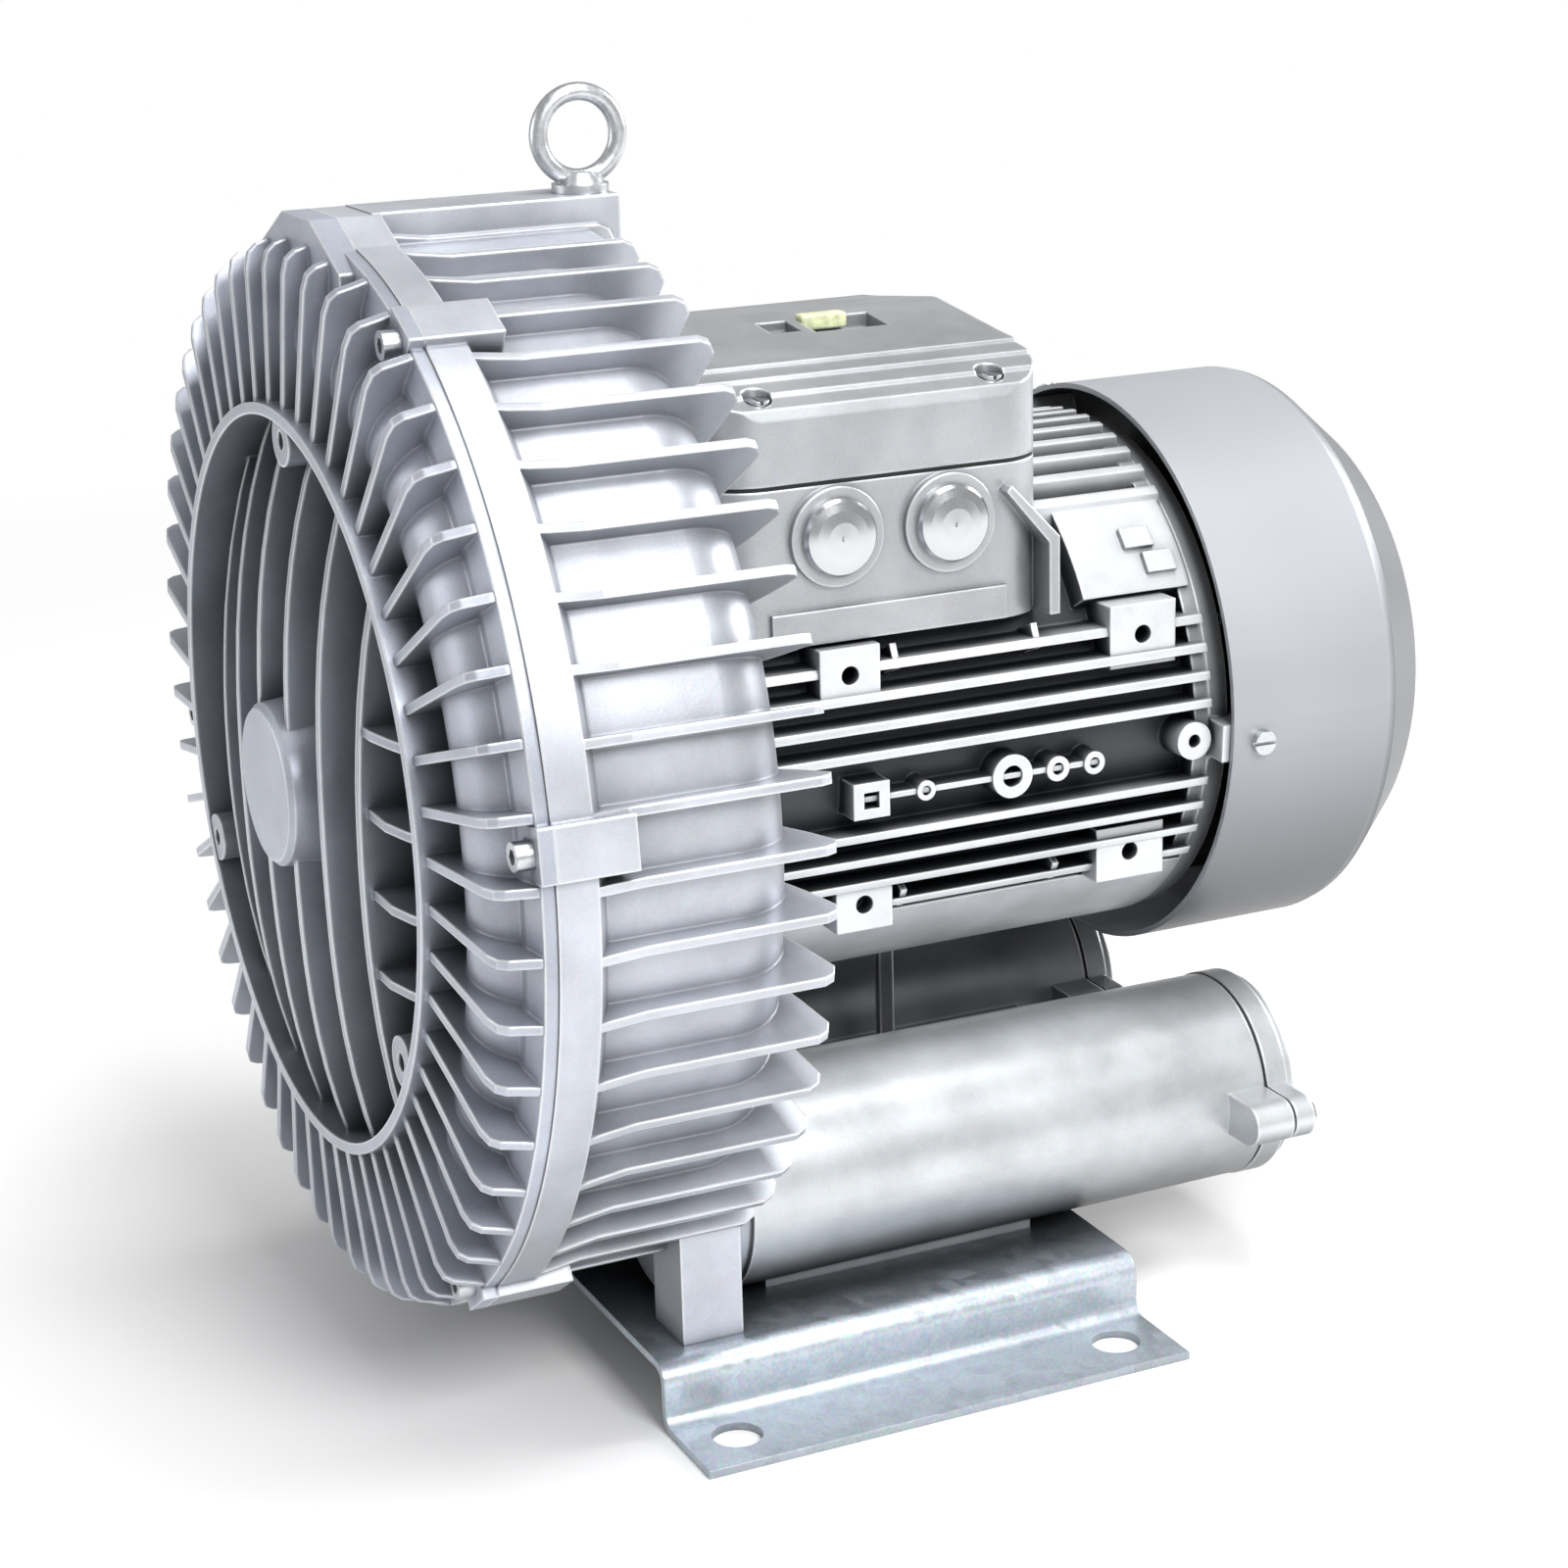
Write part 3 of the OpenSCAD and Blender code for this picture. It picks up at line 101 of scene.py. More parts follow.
# How much of a noise its finer grains make up
NOISE_ROUGHNESS = 0.6
# Sockets of Blender's colour mix node
MIX_AMOUNT, MIX_UNDER, MIX_OVER, MIX_RESULT = 0, 6, 7, 2
WHITE = (1, 1, 1, 1)

# Each soft light's name, place, width and power
LIGHTS = (
    ("key light", (1.8, 0.1, 1.5), 0.8, 30),
    ("back light", (0.0, 2.4, 1.15), 1.2, 48),
    ("top light", (0.5, 0.2, 2.1), 0.9, 22),
    ("cover light", (-0.7, -2.0, 0.7), 1.2, 10),
)
SKY_STRENGTH = 0.5
# Distances from the object's middle between which the floor fades to white
FLOOR_SHADOW = 0.8
FLOOR_WHITE = 1.6
# The camera's sensor width, and the nearest and farthest that it sees
SENSOR_MM = 36
CLIP_NEAR = 0.05
CLIP_FAR = 50


def hex_linear(code):
    """Linear RGBA of an sRGB hex code, by the sRGB curve on each channel."""
    channels = [int(code[i:i + 2], 16) / 255 for i in (1, 3, 5)]
    return [c / 12.92 if c <= 0.04045 else ((c + 0.055) / 1.055) ** 2.4 for c in channels] + [1.0]


def length_setting(name, use, default, least):
    """Property that holds a length in metres."""
    return bpy.props.FloatProperty(name=name, description=use, default=default, min=least,
                                   subtype="DISTANCE")


def colour_setting(name, use, code):
    """Property that holds a colour as an sRGB hex code."""
    return bpy.props.StringProperty(name=name, description=use, default=code)


def angle_setting(name, use, degrees):
    """Property that holds an angle, given here in degrees."""
    return bpy.props.FloatProperty(name=name, description=use, default=math.radians(degrees),
                                   subtype="ANGLE")


class BlowerSizes(bpy.types.PropertyGroup):
    """Sizes of the small parts and patterns that the looks add."""

    grit: length_setting("Casting grit", "Size of the as-cast grain", 0.9 * MM, 0.1 * MM)
    blotch: length_setting("Tone patches", "Size of the paler and darker patches in the silver paint",
                           38 * MM, 1 * MM)
    edge: length_setting("Edge highlight", "Width of the bright line along cast edges", 1.5 * MM, 0.1 * MM)
    gap: length_setting("Gap depth", "How near walls stand where painted shade falls", 16 * MM, 1 * MM)
    spangle: length_setting("Zinc spangle", "Size of the crystals on galvanised sheet", 7 * MM, 1 * MM)
    floor_reach: length_setting("Floor", "Half the width of the floor", 4.0, 1.0)


class BlowerColours(bpy.types.PropertyGroup):
    """Colours of the blower's finishes and of its painted shade, as sRGB hex codes."""

    housing: colour_setting("Housing", "Cast housing", "#C3C6CE")
    cover: colour_setting("Cover", "Cast cover", "#B2B6C1")
    silencer: colour_setting("Silencer", "Silencer casting", "#C9CCCF")
    motor: colour_setting("Motor", "Motor frame", "#D3D6D9")
    box: colour_setting("Terminal box", "Box casting", "#ABADB0")
    cowl: colour_setting("Cowl", "Fan cowl sheet", "#AFB2B7")
    cowl_shade: colour_setting("Cowl shade", "Painted shade under the cowl and on its cone", "#3A3B3E")
    painted_shade: colour_setting("Gaps", "Painted shade in gaps, hollows and under things", "#1C2027")
    foot: colour_setting("Foot", "Galvanised foot", "#C2CAD2")
    insert: colour_setting("Lid insert", "Blank insert", "#D5DAB0")
    zinc: colour_setting("Zinc", "Zinc-plated screws", "#C6C8CB")
    plug: colour_setting("Plugs", "Nickel-plated blanking plugs", "#C2C4C6")
    foam: colour_setting("Foam", "Silencer foam", "#26282B")
    tube: colour_setting("Tube", "Perforated steel tube", "#8F9296")
    hole: colour_setting("Holes", "Holes of the perforated tube", "#101214")
    fan: colour_setting("Fan", "Moulded cooling fan", "#141416")
    board: colour_setting("Board", "Terminal board", "#3A2317")
    studs: colour_setting("Studs", "Brass studs and links", "#C9A45C")
    bearing: colour_setting("Bearings", "Bearing rings and balls", "#C9CBCE")
    cage: colour_setting("Cages", "Brass cages", "#C29A55")
    shaft: colour_setting("Shaft", "Ground shaft", "#B4B6B9")
    spring: colour_setting("Springs", "Circlips and wave spring", "#4C5158")
    core: colour_setting("Cores", "Laminated cores", "#6E7176")
    impeller: colour_setting("Impeller", "Cast impeller", "#CDD0D4")
    winding: colour_setting("Windings", "Varnished windings", "#A65A2A")
    rubber: colour_setting("Seals", "Sealing rubber", "#17181A")
    floor: colour_setting("Floor", "Studio floor", "#F4F4F4")


def sizes():
    """The scene's sizes."""
    return bpy.context.scene.blower_sizes


def colours():
    """The scene's colours."""
    return bpy.context.scene.blower_colours


def add(tree, kind, **values):
    """Adds a shader node and sets it up.

    A key is a socket's name with _ for a space, or s and a socket's number, or an attribute. A
    value is a plain one, or another node's output to link."""
    node = tree.nodes.new(kind)
    for key, value in values.items():
        name = key.replace("_", " ")
        if key[0] == "s" and key[1:].isdigit():
            connect(tree, value, node.inputs[int(key[1:])])
        elif name in node.inputs:
            connect(tree, value, node.inputs[name])
        else:
            setattr(node, key, value)
    return node


def connect(tree, value, socket):
    """Links an output to a socket, or sets the socket to a plain value."""
    if isinstance(value, bpy.types.NodeSocket):
        tree.links.new(value, socket)
    else:
        socket.default_value = value


def new_material(name):
    """Empty material with a Principled shader; gives the material, its tree and the shader."""
    material = bpy.data.materials.new(name)
    material.use_nodes = True
    tree = material.node_tree
    return material, tree, tree.nodes["Principled BSDF"]


def finish(tree, shader, **values):
    """Sets the shader's sockets, named with _ for a space, to outputs or plain values."""
    for key, value in values.items():
        connect(tree, value, shader.inputs[key.replace("_", " ")])


def object_place(tree):
    """Object coordinates of the shaded point."""
    return add(tree, "ShaderNodeTexCoord").outputs["Object"]


def object_axis(tree, axis):
    """Object coordinate of the shaded point along X, Y or Z."""
    return add(tree, "ShaderNodeSeparateXYZ", Vector=object_place(tree)).outputs[axis]


def object_noise(tree, size, detail=2.0):
    """Noise on Object coordinates whose grains are about size across; gives value and colour."""
    noise = add(tree, "ShaderNodeTexNoise", Scale=1 / size, Detail=detail, Roughness=NOISE_ROUGHNESS,
                Vector=object_place(tree))
    return noise.outputs["Fac"], noise.outputs["Color"]


def tone(tree, low, high, start, end, value):
    """Colour that runs from low to high as a value goes from start to end."""
    ramp = add(tree, "ShaderNodeValToRGB", Fac=value)
    first, last = ramp.color_ramp.elements
    first.position, first.color = start, low
    last.position, last.color = end, high
    return ramp.outputs["Color"]


def mapped(tree, value, start=0.0, end=1.0, low=0.0, high=1.0):
    """Carries a value over in a straight line: low at start, high at end, and held beyond them."""
    return add(tree, "ShaderNodeMapRange", From_Min=start, From_Max=end, To_Min=low, To_Max=high,
               Value=value).outputs["Result"]


def product(tree, first, second):
    """One value times another."""
    return add(tree, "ShaderNodeMath", operation="MULTIPLY", s0=first, s1=second).outputs["Value"]


def layered(tree, amount, under, over, blend="MIX"):
    """Lays the colour over on the colour under by an amount."""
    node = add(tree, "ShaderNodeMix", data_type="RGBA", blend_type=blend)
    for index, value in ((MIX_AMOUNT, amount), (MIX_UNDER, under), (MIX_OVER, over)):
        connect(tree, value, node.inputs[index])
    return node.outputs[MIX_RESULT]


def openness(tree, reach):
    """How open the surroundings of a point are within a reach: 0 closed in, 1 free."""
    return add(tree, "ShaderNodeAmbientOcclusion", samples=OPEN_RAYS, Distance=reach).outputs["AO"]


def rounded_normal(tree, radius, rays=EDGE_RAYS):
    """Normal that turns smoothly over an edge, as if the edge had a radius."""
    return add(tree, "ShaderNodeBevel", samples=rays, Radius=radius).outputs["Normal"]


def bumped(tree, height, strength, depth, **normal):
    """Normal with a height laid over it as a bump."""
    return add(tree, "ShaderNodeBump", Strength=strength, Distance=depth, Height=height,
               **normal).outputs["Normal"]


def shaded(colour, factor):
    """The linear colour times a factor, kept within white."""
    return [min(1.0, c * factor) for c in colour[:3]] + [1.0]


def varied(tree, base, value, dark, pale, start=0.3, end=0.7):
    """The base colour times dark where a value is at start, and times pale where it is at end."""
    return tone(tree, shaded(base, dark), shaded(base, pale), start, end, value)


def shaft_radius(tree):
    """Distance of a point from the shaft's axis."""
    across = add(tree, "ShaderNodeVectorMath", operation="MULTIPLY_ADD", s0=object_place(tree),
                 s1=(1, 0, 1), s2=(0, 0, -SHAFT_Z))
    reach = add(tree, "ShaderNodeVectorMath", operation="LENGTH", s0=across.outputs["Vector"])
    return reach.outputs["Value"]


def recess_depth(tree):
    """How deep a point lies in the cover's recess: 0 outside and at its front, 1 on its floor."""
    inside = add(tree, "ShaderNodeMath", operation="LESS_THAN", s0=shaft_radius(tree), s1=RECESS_R)
    depth = mapped(tree, object_axis(tree, "Y"), RECESS_FRONT, RECESS_FLOOR)
    return product(tree, inside.outputs["Value"], depth)


def fin_depth(tree):
    """How deep a point lies between the motor's fins: 0 at their tips, 1 near the barrel."""
    return mapped(tree, shaft_radius(tree), FIN_TIP_R, FIN_ROOT_R)


def between_tubes(tree):
    """1 on the deck between the two silencer tubes and 0 on their outer sides."""
    aside = add(tree, "ShaderNodeMath", operation="ABSOLUTE", s0=object_axis(tree, "X"))
    return mapped(tree, aside.outputs["Value"], TUBE_X, DECK_X)


def underside(tree, most, start=-0.05, end=-0.85):
    """Rises from 0 to most where a face turns from level towards the floor."""
    facing = add(tree, "ShaderNodeNewGeometry").outputs["Normal"]
    upward = add(tree, "ShaderNodeSeparateXYZ", Vector=facing).outputs["Z"]
    return mapped(tree, upward, start, end, 0.0, most)


def edge_highlight(tree, rounded):
    """How strong the painted edge highlight is: rises as the rounded normal leaves the face's, but not
    in inner corners.
    """
    facing = add(tree, "ShaderNodeNewGeometry").outputs["Normal"]
    same = add(tree, "ShaderNodeVectorMath", operation="DOT_PRODUCT", s0=rounded, s1=facing)
    highlight_amount = mapped(tree, same.outputs["Value"], HIGHLIGHT_START, HIGHLIGHT_FULL, 0.0, HIGHLIGHT_MOST)
    outer = mapped(tree, openness(tree, CORNER_REACH), CORNER_INNER, CORNER_OUTER)
    return product(tree, highlight_amount, outer)


def silver_casting(name, code, gap_shade=0.75, grit_bump=0.25, metallic=0.6, roughness=0.38,
                   gap_reach=None, gap_open=0.85, deep=None, deep_shade=0.0, under_shade=0.0):
    """Silver-painted aluminium casting: patchy satin tone, grit, painted edge highlights, painted shade.

    Painted shade covers the gaps by gap_shade; it looks for walls within gap_reach, and a face that
    is open by gap_open stays unshaded. It covers faces that look down by under_shade. deep is a function
    that gives how deep a point lies in the casting's own hollow, and deep_shade the painted shade there."""
    material, tree, shader = new_material(name)
    base = hex_linear(code)
    painted_shade = hex_linear(colours().painted_shade)
    patches, _ = object_noise(tree, sizes().blotch, detail=4.0)
    grit, grit_colour = object_noise(tree, sizes().grit)
    body = varied(tree, base, patches, dark=0.82, pale=1.1)
    body = layered(tree, GRIT_TONE, body, grit_colour, "OVERLAY")
    # painted shade in the gaps: the more closed in a point is, the darker
    gaps = mapped(tree, openness(tree, gap_reach or sizes().gap), start=GAP_FULL * gap_open,
                  end=gap_open, low=gap_shade, high=0.0)
    body = layered(tree, gaps, body, painted_shade)
    # painted shade on faces that look down
    if under_shade:
        body = layered(tree, underside(tree, under_shade), body, painted_shade)
    # painted shade deep in the casting's own hollow
    if deep:
        body = layered(tree, product(tree, deep(tree), deep_shade), body, painted_shade)
    rounded = rounded_normal(tree, sizes().edge, CAST_EDGE_RAYS)
    # painted highlight along the outer edges
    body = layered(tree, edge_highlight(tree, rounded), body, shaded(base, HIGHLIGHT_BRIGHT))
    finish(tree, shader, Base_Color=body, Metallic=metallic,
           Roughness=mapped(tree, patches, low=roughness - 0.06, high=roughness + 0.08),
           Normal=bumped(tree, grit, strength=grit_bump, depth=0.15 * MM, Normal=rounded))
    return material


def pressed_sheet(name, code):
    """Pressed steel sheet in silver enamel: smooth, faint orange peel, soft patches, painted shade."""
    material, tree, shader = new_material(name)
    base = hex_linear(code)
    cowl_shade = hex_linear(colours().cowl_shade)
    patches, _ = object_noise(tree, size=3 * sizes().blotch)
    peel, _ = object_noise(tree, size=2.2 * MM, detail=1.0)
    body = varied(tree, base, patches, dark=0.94, pale=1.05)
    # painted shade on the side that faces the floor
    body = layered(tree, underside(tree, most=0.95, start=0.25), body, cowl_shade)
    # the drawn cone and the grille take painted shade, darker than the rolled side
    cone = mapped(tree, object_axis(tree, "Y"), CONE_START, CONE_FULL, high=0.72)
    body = layered(tree, cone, body, cowl_shade)
    rounded = rounded_normal(tree, radius=0.8 * MM)
    finish(tree, shader, Base_Color=body, Metallic=0.35, Roughness=0.38,
           Normal=bumped(tree, peel, strength=0.06, depth=0.2 * MM, Normal=rounded))
    return material


def galvanised(name, code):
    """Hot-dip galvanised sheet: zinc crystals that differ a little in tone and shine, fine grain,
    painted shade.
    """
    material, tree, shader = new_material(name)
    base = hex_linear(code)
    crystals = add(tree, "ShaderNodeTexVoronoi", Scale=1 / sizes().spangle, Vector=object_place(tree))
    level = add(tree, "ShaderNodeSeparateColor", Color=crystals.outputs["Color"]).outputs
    grain, grain_colour = object_noise(tree, size=1.5 * MM, detail=3.0)
    body = varied(tree, base, level["Red"], dark=0.93, pale=1.05, start=0.0, end=1.0)
    body = layered(tree, GRAIN_TONE, body, grain_colour, "OVERLAY")
    # painted shade where the casting stands close over the sheet
    shade = mapped(tree, openness(tree, reach=45 * MM), start=0.1, end=0.75, low=0.9, high=0.0)
    body = layered(tree, shade, body, hex_linear(colours().painted_shade))
    rounded = rounded_normal(tree, radius=0.6 * MM)
    finish(tree, shader, Base_Color=body, Metallic=0.8,
           Roughness=mapped(tree, level["Green"], low=0.32, high=0.5),
           Normal=bumped(tree, grain, strength=0.12, depth=0.1 * MM, Normal=rounded))
    return material


def plain_metal(name, code, roughness=0.3, grain=0.6 * MM, metallic=1.0, spread=0.12,
                edge=0.4 * MM):
    """Bare or plated metal: a fine grain in tone, by spread, and in roughness, and soft edges."""
    material, tree, shader = new_material(name)
    base = hex_linear(code)
    fine, _ = object_noise(tree, grain)
    body = varied(tree, base, fine, dark=1 - spread, pale=1 + spread, start=0.35, end=0.65)
    finish(tree, shader, Base_Color=body, Metallic=metallic,
           Roughness=mapped(tree, fine, low=roughness - 0.05, high=roughness + 0.1))
    if edge:
        finish(tree, shader, Normal=rounded_normal(tree, edge))
    return material


def dull(name, code, roughness=0.7, grain=0.8 * MM):
    """Rubber, foam or moulded plastic: not metallic, with a fine grain in tone and bump."""
    material, tree, shader = new_material(name)
    base = hex_linear(code)
    fine, _ = object_noise(tree, grain)
    body = varied(tree, base, fine, dark=0.8, pale=1.25)
    finish(tree, shader, Base_Color=body, Roughness=roughness,
           Normal=bumped(tree, fine, strength=0.2, depth=0.2 * MM))
    return material


def perforated(name, code, pitch=5 * MM):
    """Perforated sheet: dark round holes about 3 mm across at a 5 mm pitch, drawn as colour."""
    material, tree, shader = new_material(name)
    holes = add(tree, "ShaderNodeTexVoronoi", Scale=1 / pitch, Randomness=0.0,
                Vector=object_place(tree))
    body = tone(tree, low=hex_linear(colours().hole), high=hex_linear(code), start=0.28, end=0.34,
                value=holes.outputs["Distance"])
    finish(tree, shader, Base_Color=body, Metallic=0.7, Roughness=0.4)
    return material


def wear(material, *names):
    """Puts one material on every slot of the named CAD nodes."""
    for name in names:
        for slot in NODES[name].material_slots:
            slot.material = material


class BLOWER_OT_housing(bpy.types.Operator):
    """Finish the pump's cover and housing as silver-painted castings"""

    bl_idname = "blower.housing"
    bl_label = "Pump housing"

    def execute(self, context):
        # as-cast aluminium, thin silver coat: satin, painted shade in gaps and below, painted highlight
        # on fin edges
        wear(silver_casting("Housing cast aluminium", colours().housing, under_shade=0.35),
             "rear_housing")
        # the cover also takes painted shade deep in its recess
        wear(silver_casting("Cover cast aluminium", colours().cover, gap_shade=0.76,
                            deep=recess_depth, deep_shade=0.68), "front_cover")
        return {"FINISHED"}


class BLOWER_OT_silencer(bpy.types.Operator):
    """Finish the silencer casting, its port covers and what lies inside the tubes"""

    bl_idname = "blower.silencer"
    bl_label = "Silencer"

    def execute(self, context):
        # smoother casting than the housing, with longer soft highlights
        # painted shade in the gaps, on the deck between the tubes and on faces that look down
        cast = silver_casting("Silencer cast aluminium", colours().silencer, gap_shade=0.95,
                              grit_bump=0.15, roughness=0.34, gap_reach=42 * MM, gap_open=0.34,
                              deep=between_tubes, deep_shade=0.7, under_shade=0.85)
        wear(cast, "silencer_housing", "inlet_port_cover", "outlet_port_cover")
        # open-cell foam looks nearly black, and its tube is perforated steel
        wear(dull("Silencer foam", colours().foam, roughness=0.95, grain=1.5 * MM),
             "inlet_foam_sleeve", "outlet_foam_sleeve")
        wear(perforated("Perforated steel tube", colours().tube), "inlet_mesh_tube",
             "outlet_mesh_tube")
        return {"FINISHED"}


class BLOWER_OT_motor(bpy.types.Operator):
    """Finish the motor's frame, end shield, fan cowl and fan"""

    bl_idname = "blower.motor"
    bl_label = "Motor"

    def execute(self, context):
        # die-cast frame: painted highlights on fin edges, painted shade makes the gaps almost black
        frame_cast = silver_casting("Motor frame aluminium", colours().motor, gap_shade=1.0,
                                    grit_bump=0.12, metallic=0.4, gap_reach=22 * MM,
                                    deep=fin_depth, deep_shade=0.93)
        wear(frame_cast, "motor_frame", "rear_end_shield")
        # enamelled steel sheet: even and smooth
        wear(pressed_sheet("Cowl enamel", colours().cowl), "fan_cowl")
        wear(dull("Fan polypropylene", colours().fan, roughness=0.5), "cooling_fan")
        return {"FINISHED"}


class BLOWER_OT_terminal_box(bpy.types.Operator):
    """Finish the terminal box, its plugs and what the box holds"""

    bl_idname = "blower.terminal_box"
    bl_label = "Terminal box"

    def execute(self, context):
        # painted shade in the gaps and painted highlights on the edges
        cast = silver_casting("Terminal box aluminium", colours().box, gap_shade=0.5, grit_bump=0.12)
        wear(cast, "terminal_box_base", "terminal_box_lid")
        # nickel-plated brass: bright and even
        wear(plain_metal("Nickel-plated plug", colours().plug, roughness=0.2, spread=0.04, edge=0),
             "blanking_plug_front", "blanking_plug_rear")
        wear(dull("Terminal board resin", colours().board, roughness=0.5), "terminal_board")
        wear(plain_metal("Terminal brass", colours().studs), "terminal_studs", "terminal_links")
        return {"FINISHED"}


def rounded_block(name, low, high, edge, material):
    """Block between two corners with rounded edges, as a new piece.

    Each corner is low plus the block's size times 0 or 1 on each axis, with Z counting fastest."""
    low, high = np.array(low), np.array(high)
    corners = low + np.indices((2, 2, 2)).reshape(3, 8).T * (high - low)
    faces = [(0, 1, 3, 2), (4, 6, 7, 5), (0, 4, 5, 1), (2, 3, 7, 6), (0, 2, 6, 4), (1, 5, 7, 3)]
    mesh = bpy.data.meshes.new(name)
    mesh.from_pydata(corners.tolist(), [], faces)
    piece = bpy.data.objects.new(name, mesh)
    bpy.context.scene.collection.objects.link(piece)
    bevel = piece.modifiers.new("edges", "BEVEL")
    bevel.width = edge
    bevel.segments = 4
    for face in mesh.polygons:
        face.use_smooth = True
    mesh.materials.append(material)
    return piece


class BLOWER_OT_lid_insert(bpy.types.Operator):
    """Set a blank pale insert along the far side of the lid's pocket"""

    bl_idname = "blower.lid_insert"
    bl_label = "Lid insert"

    def execute(self, context):
        # pale moulded resin, a little glossy, standing just proud of the lid's roof
        lid_low, lid_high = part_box("terminal_box_lid")
        y = lid_low.y + POCKET_Y
        low, high = ((x, y + along, lid_high.z + up)
                     for x, along, up in zip(INSERT_X, INSERT_Y, INSERT_Z))
        piece = rounded_block("lid_insert", low, high, INSERT_EDGE,
                              dull("Insert resin", colours().insert, roughness=0.25, grain=3 * MM))
        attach(piece, "casing")
        return {"FINISHED"}


class BLOWER_OT_foot(bpy.types.Operator):
    """Finish the bent foot as galvanised sheet"""

    bl_idname = "blower.foot"
    bl_label = "Foot"

    def execute(self, context):
        wear(galvanised("Galvanised steel", colours().foot), "foot_plate")
        return {"FINISHED"}


class BLOWER_OT_fasteners(bpy.types.Operator):
    """Finish screws, bolts and the lifting eye in zinc plating"""

    bl_idname = "blower.fasteners"
    bl_label = "Fasteners"

    def execute(self, context):
        # bright zinc on steel, clear passivated: cool silver
        wear(plain_metal("Zinc-plated steel", colours().zinc), "housing_bolts",
             "silencer_screws", "port_screws", "foot_bolts", "frame_bolts", "end_shield_screws",
             "lid_screws", "cowl_screws")
        wear(plain_metal("Forged zinc-plated eye", colours().zinc, roughness=0.32,
                         grain=2.5 * MM, spread=0.08), "eye_bolt")
        return {"FINISHED"}


class BLOWER_OT_inside(bpy.types.Operator):
    """Finish the running gear, bearings, windings and seals inside the casing"""

    bl_idname = "blower.inside"
    bl_label = "Inside"

    def execute(self, context):
        look = colours()
        # bearing steel is through-hardened and polished
        wear(plain_metal("Bearing steel", look.bearing, roughness=0.12),
             "front_bearing_outer_ring", "front_bearing_inner_ring", "front_bearing_balls",
             "rear_bearing_outer_ring", "rear_bearing_inner_ring", "rear_bearing_balls")
        wear(plain_metal("Cage brass", look.cage, roughness=0.35), "front_bearing_cage",
             "rear_bearing_cage")
        wear(plain_metal("Ground shaft steel", look.shaft, roughness=0.25), "shaft",
             "impeller_key", "spacer_sleeve")
        wear(plain_metal("Spring steel", look.spring, roughness=0.4), "shaft_circlips",
             "wave_spring")
        wear(plain_metal("Laminated core steel", look.core, roughness=0.45, grain=0.5 * MM),
             "stator_core", "rotor_core")
        wear(plain_metal("Impeller aluminium", look.impeller, roughness=0.35, grain=1.2 * MM),
             "impeller", "rotor_end_rings")
        # varnished copper wire
        wear(plain_metal("Varnished copper winding", look.winding, roughness=0.35,
                         grain=1.2 * MM, metallic=0.6, spread=0.3),
             "winding_front", "winding_rear")
        wear(dull("Sealing rubber", look.rubber), "cover_seal", "shaft_seal", "port_gaskets",
             "terminal_box_gasket")
        return {"FINISHED"}


def shadow_floor(name):
    """White studio floor that takes the shadow near the object and fades to the white backdrop."""
    material, tree, shader = new_material(name)
    finish(tree, shader, Base_Color=hex_linear(colours().floor), Roughness=0.9,
           Specular_IOR_Level=0.1)
    far = add(tree, "ShaderNodeVectorMath", operation="LENGTH", s0=object_place(tree))
    fade = mapped(tree, far.outputs["Value"], FLOOR_SHADOW, FLOOR_WHITE)
    path = add(tree, "ShaderNodeLightPath")
    white = add(tree, "ShaderNodeEmission", Color=WHITE, Strength=1.0)
    mix = add(tree, "ShaderNodeMixShader", s0=product(tree, fade, path.outputs["Is Camera Ray"]),
              s1=shader.outputs["BSDF"], s2=white.outputs["Emission"])
    tree.links.new(mix.outputs["Shader"], tree.nodes["Material Output"].inputs["Surface"])
    return material


def area_light(name, place, aim, width, power):
    """Square soft light at place, turned to aim."""
    data = bpy.data.lights.new(name, "AREA")
    data.shape = "SQUARE"
    data.size = width
    data.energy = power
    lamp = bpy.data.objects.new(name, data)
    lamp.location = place
    lamp.rotation_euler = (Vector(aim) - Vector(place)).to_track_quat("-Z", "Y").to_euler()
    bpy.context.scene.collection.objects.link(lamp)


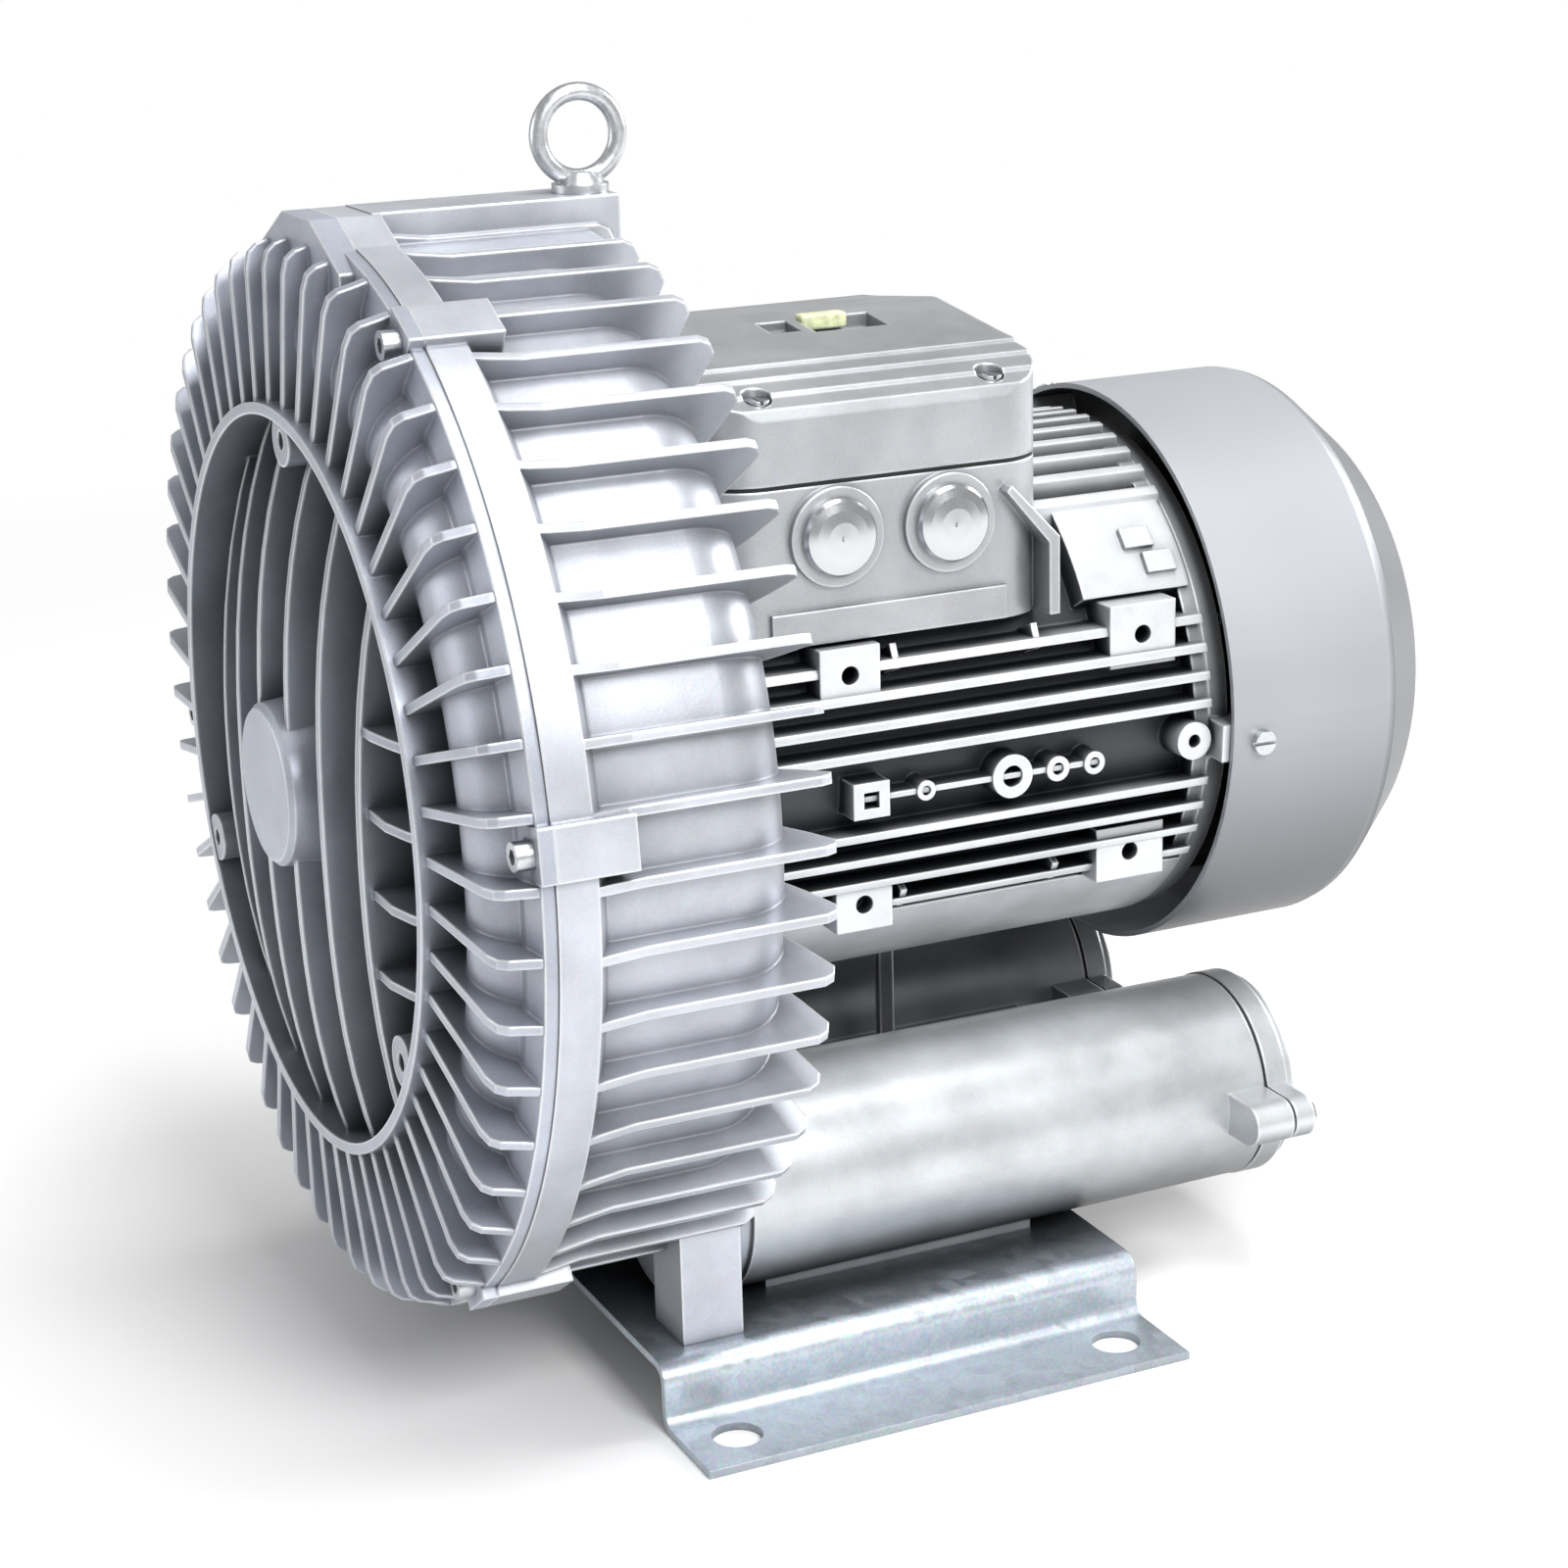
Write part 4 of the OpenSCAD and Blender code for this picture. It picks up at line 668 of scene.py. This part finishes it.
class BLOWER_OT_stage(bpy.types.Operator):
    """Make the floor, lights, backdrop and camera"""

    bl_idname = "blower.stage"
    bl_label = "Stage"

    azimuth: angle_setting("Azimuth", "Camera's turn from the cover's side", 65.2)
    elevation: angle_setting("Elevation", "Camera's height as an angle", 16.946)
    roll: angle_setting("Roll", "Camera's tilt about its own axis", -1.501)
    lens: bpy.props.FloatProperty(name="Lens", description="Focal length on a 36 mm sensor, in mm",
                                  default=76.61)
    place: bpy.props.FloatVectorProperty(
        name="Place", description="Camera's place", subtype="TRANSLATION",
        default=(1.0923, JOINT_Y - 0.3395, SHAFT_Z + 0.3366))

    def execute(self, context):
        scene = context.scene
        self.make_camera(scene)
        self.make_floor(scene)
        self.make_lights(scene)
        scene.view_settings.view_transform = "Standard"
        return {"FINISHED"}

    def make_camera(self, scene):
        """Camera at place, looking along the two angles and then turned by the roll."""
        a, p = self.azimuth, self.elevation
        ahead = Vector((-math.sin(a) * math.cos(p), math.cos(a) * math.cos(p), -math.sin(p)))
        right = Vector((math.cos(a), math.sin(a), 0))
        up = right.cross(ahead)
        turned_right = math.cos(self.roll) * right + math.sin(self.roll) * up
        turned_up = math.cos(self.roll) * up - math.sin(self.roll) * right
        data = bpy.data.cameras.new("Camera")
        data.sensor_width = SENSOR_MM
        data.lens = self.lens
        data.clip_start = CLIP_NEAR
        data.clip_end = CLIP_FAR
        camera = bpy.data.objects.new("Camera", data)
        turn = Matrix((turned_right, turned_up, -ahead)).transposed()
        camera.matrix_world = Matrix.Translation(self.place) @ turn.to_4x4()
        scene.collection.objects.link(camera)
        scene.camera = camera

    def make_floor(self, scene):
        """Square floor under the object."""
        corners = sizes().floor_reach * np.array([(-1, -1, 0), (1, -1, 0), (1, 1, 0), (-1, 1, 0)])
        mesh = bpy.data.meshes.new("floor")
        mesh.from_pydata(corners.tolist(), [], [(0, 1, 2, 3)])
        floor = bpy.data.objects.new("floor", mesh)
        scene.collection.objects.link(floor)
        mesh.materials.append(shadow_floor("Studio floor"))

    def make_lights(self, scene):
        """Soft sky that the camera sees as white, and the area lights."""
        world = bpy.data.worlds.new("Studio")
        world.use_nodes = True
        tree = world.node_tree
        sky = tree.nodes["Background"]
        finish(tree, sky, Color=WHITE, Strength=SKY_STRENGTH)
        bright = add(tree, "ShaderNodeBackground", Color=WHITE, Strength=1.0)
        path = add(tree, "ShaderNodeLightPath")
        mix = add(tree, "ShaderNodeMixShader", s0=path.outputs["Is Camera Ray"],
                  s1=sky.outputs["Background"], s2=bright.outputs["Background"])
        tree.links.new(mix.outputs["Shader"], tree.nodes["World Output"].inputs["Surface"])
        scene.world = world
        for name, place, width, power in LIGHTS:
            area_light(name, place, (0, 0, SHAFT_Z), width, power)


class BLOWER_PT_panel(bpy.types.Panel):
    """Lists the blower's settings and operators in the sidebar"""

    bl_label = "Blower"
    bl_idname = "BLOWER_PT_panel"
    bl_space_type = "VIEW_3D"
    bl_region_type = "UI"
    bl_category = "Blower"

    def draw(self, context):
        for group in (context.scene.blower_sizes, context.scene.blower_colours):
            for name in group.bl_rna.properties.keys():
                if name not in ("rna_type", "name"):
                    self.layout.prop(group, name)
        for operator in OPERATORS:
            self.layout.operator(operator.bl_idname)


OPERATORS = (BLOWER_OT_housing, BLOWER_OT_silencer, BLOWER_OT_motor, BLOWER_OT_terminal_box,
             BLOWER_OT_lid_insert, BLOWER_OT_foot, BLOWER_OT_fasteners, BLOWER_OT_inside,
             BLOWER_OT_stage)
CLASSES = (BlowerSizes, BlowerColours) + OPERATORS + (BLOWER_PT_panel,)


def register():
    """Registers the classes and gives the scene its settings."""
    for cls in CLASSES:
        bpy.utils.register_class(cls)
    bpy.types.Scene.blower_sizes = bpy.props.PointerProperty(type=BlowerSizes)
    bpy.types.Scene.blower_colours = bpy.props.PointerProperty(type=BlowerColours)


def unregister():
    """Takes the settings and the classes away again."""
    del bpy.types.Scene.blower_colours
    del bpy.types.Scene.blower_sizes
    for cls in reversed(CLASSES):
        bpy.utils.unregister_class(cls)


def main():
    """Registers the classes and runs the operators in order."""
    register()
    bpy.ops.blower.stage()
    bpy.ops.blower.housing()
    bpy.ops.blower.silencer()
    bpy.ops.blower.motor()
    bpy.ops.blower.terminal_box()
    bpy.ops.blower.lid_insert()
    bpy.ops.blower.foot()
    bpy.ops.blower.fasteners()
    bpy.ops.blower.inside()


if __name__ == "__main__":
    main()
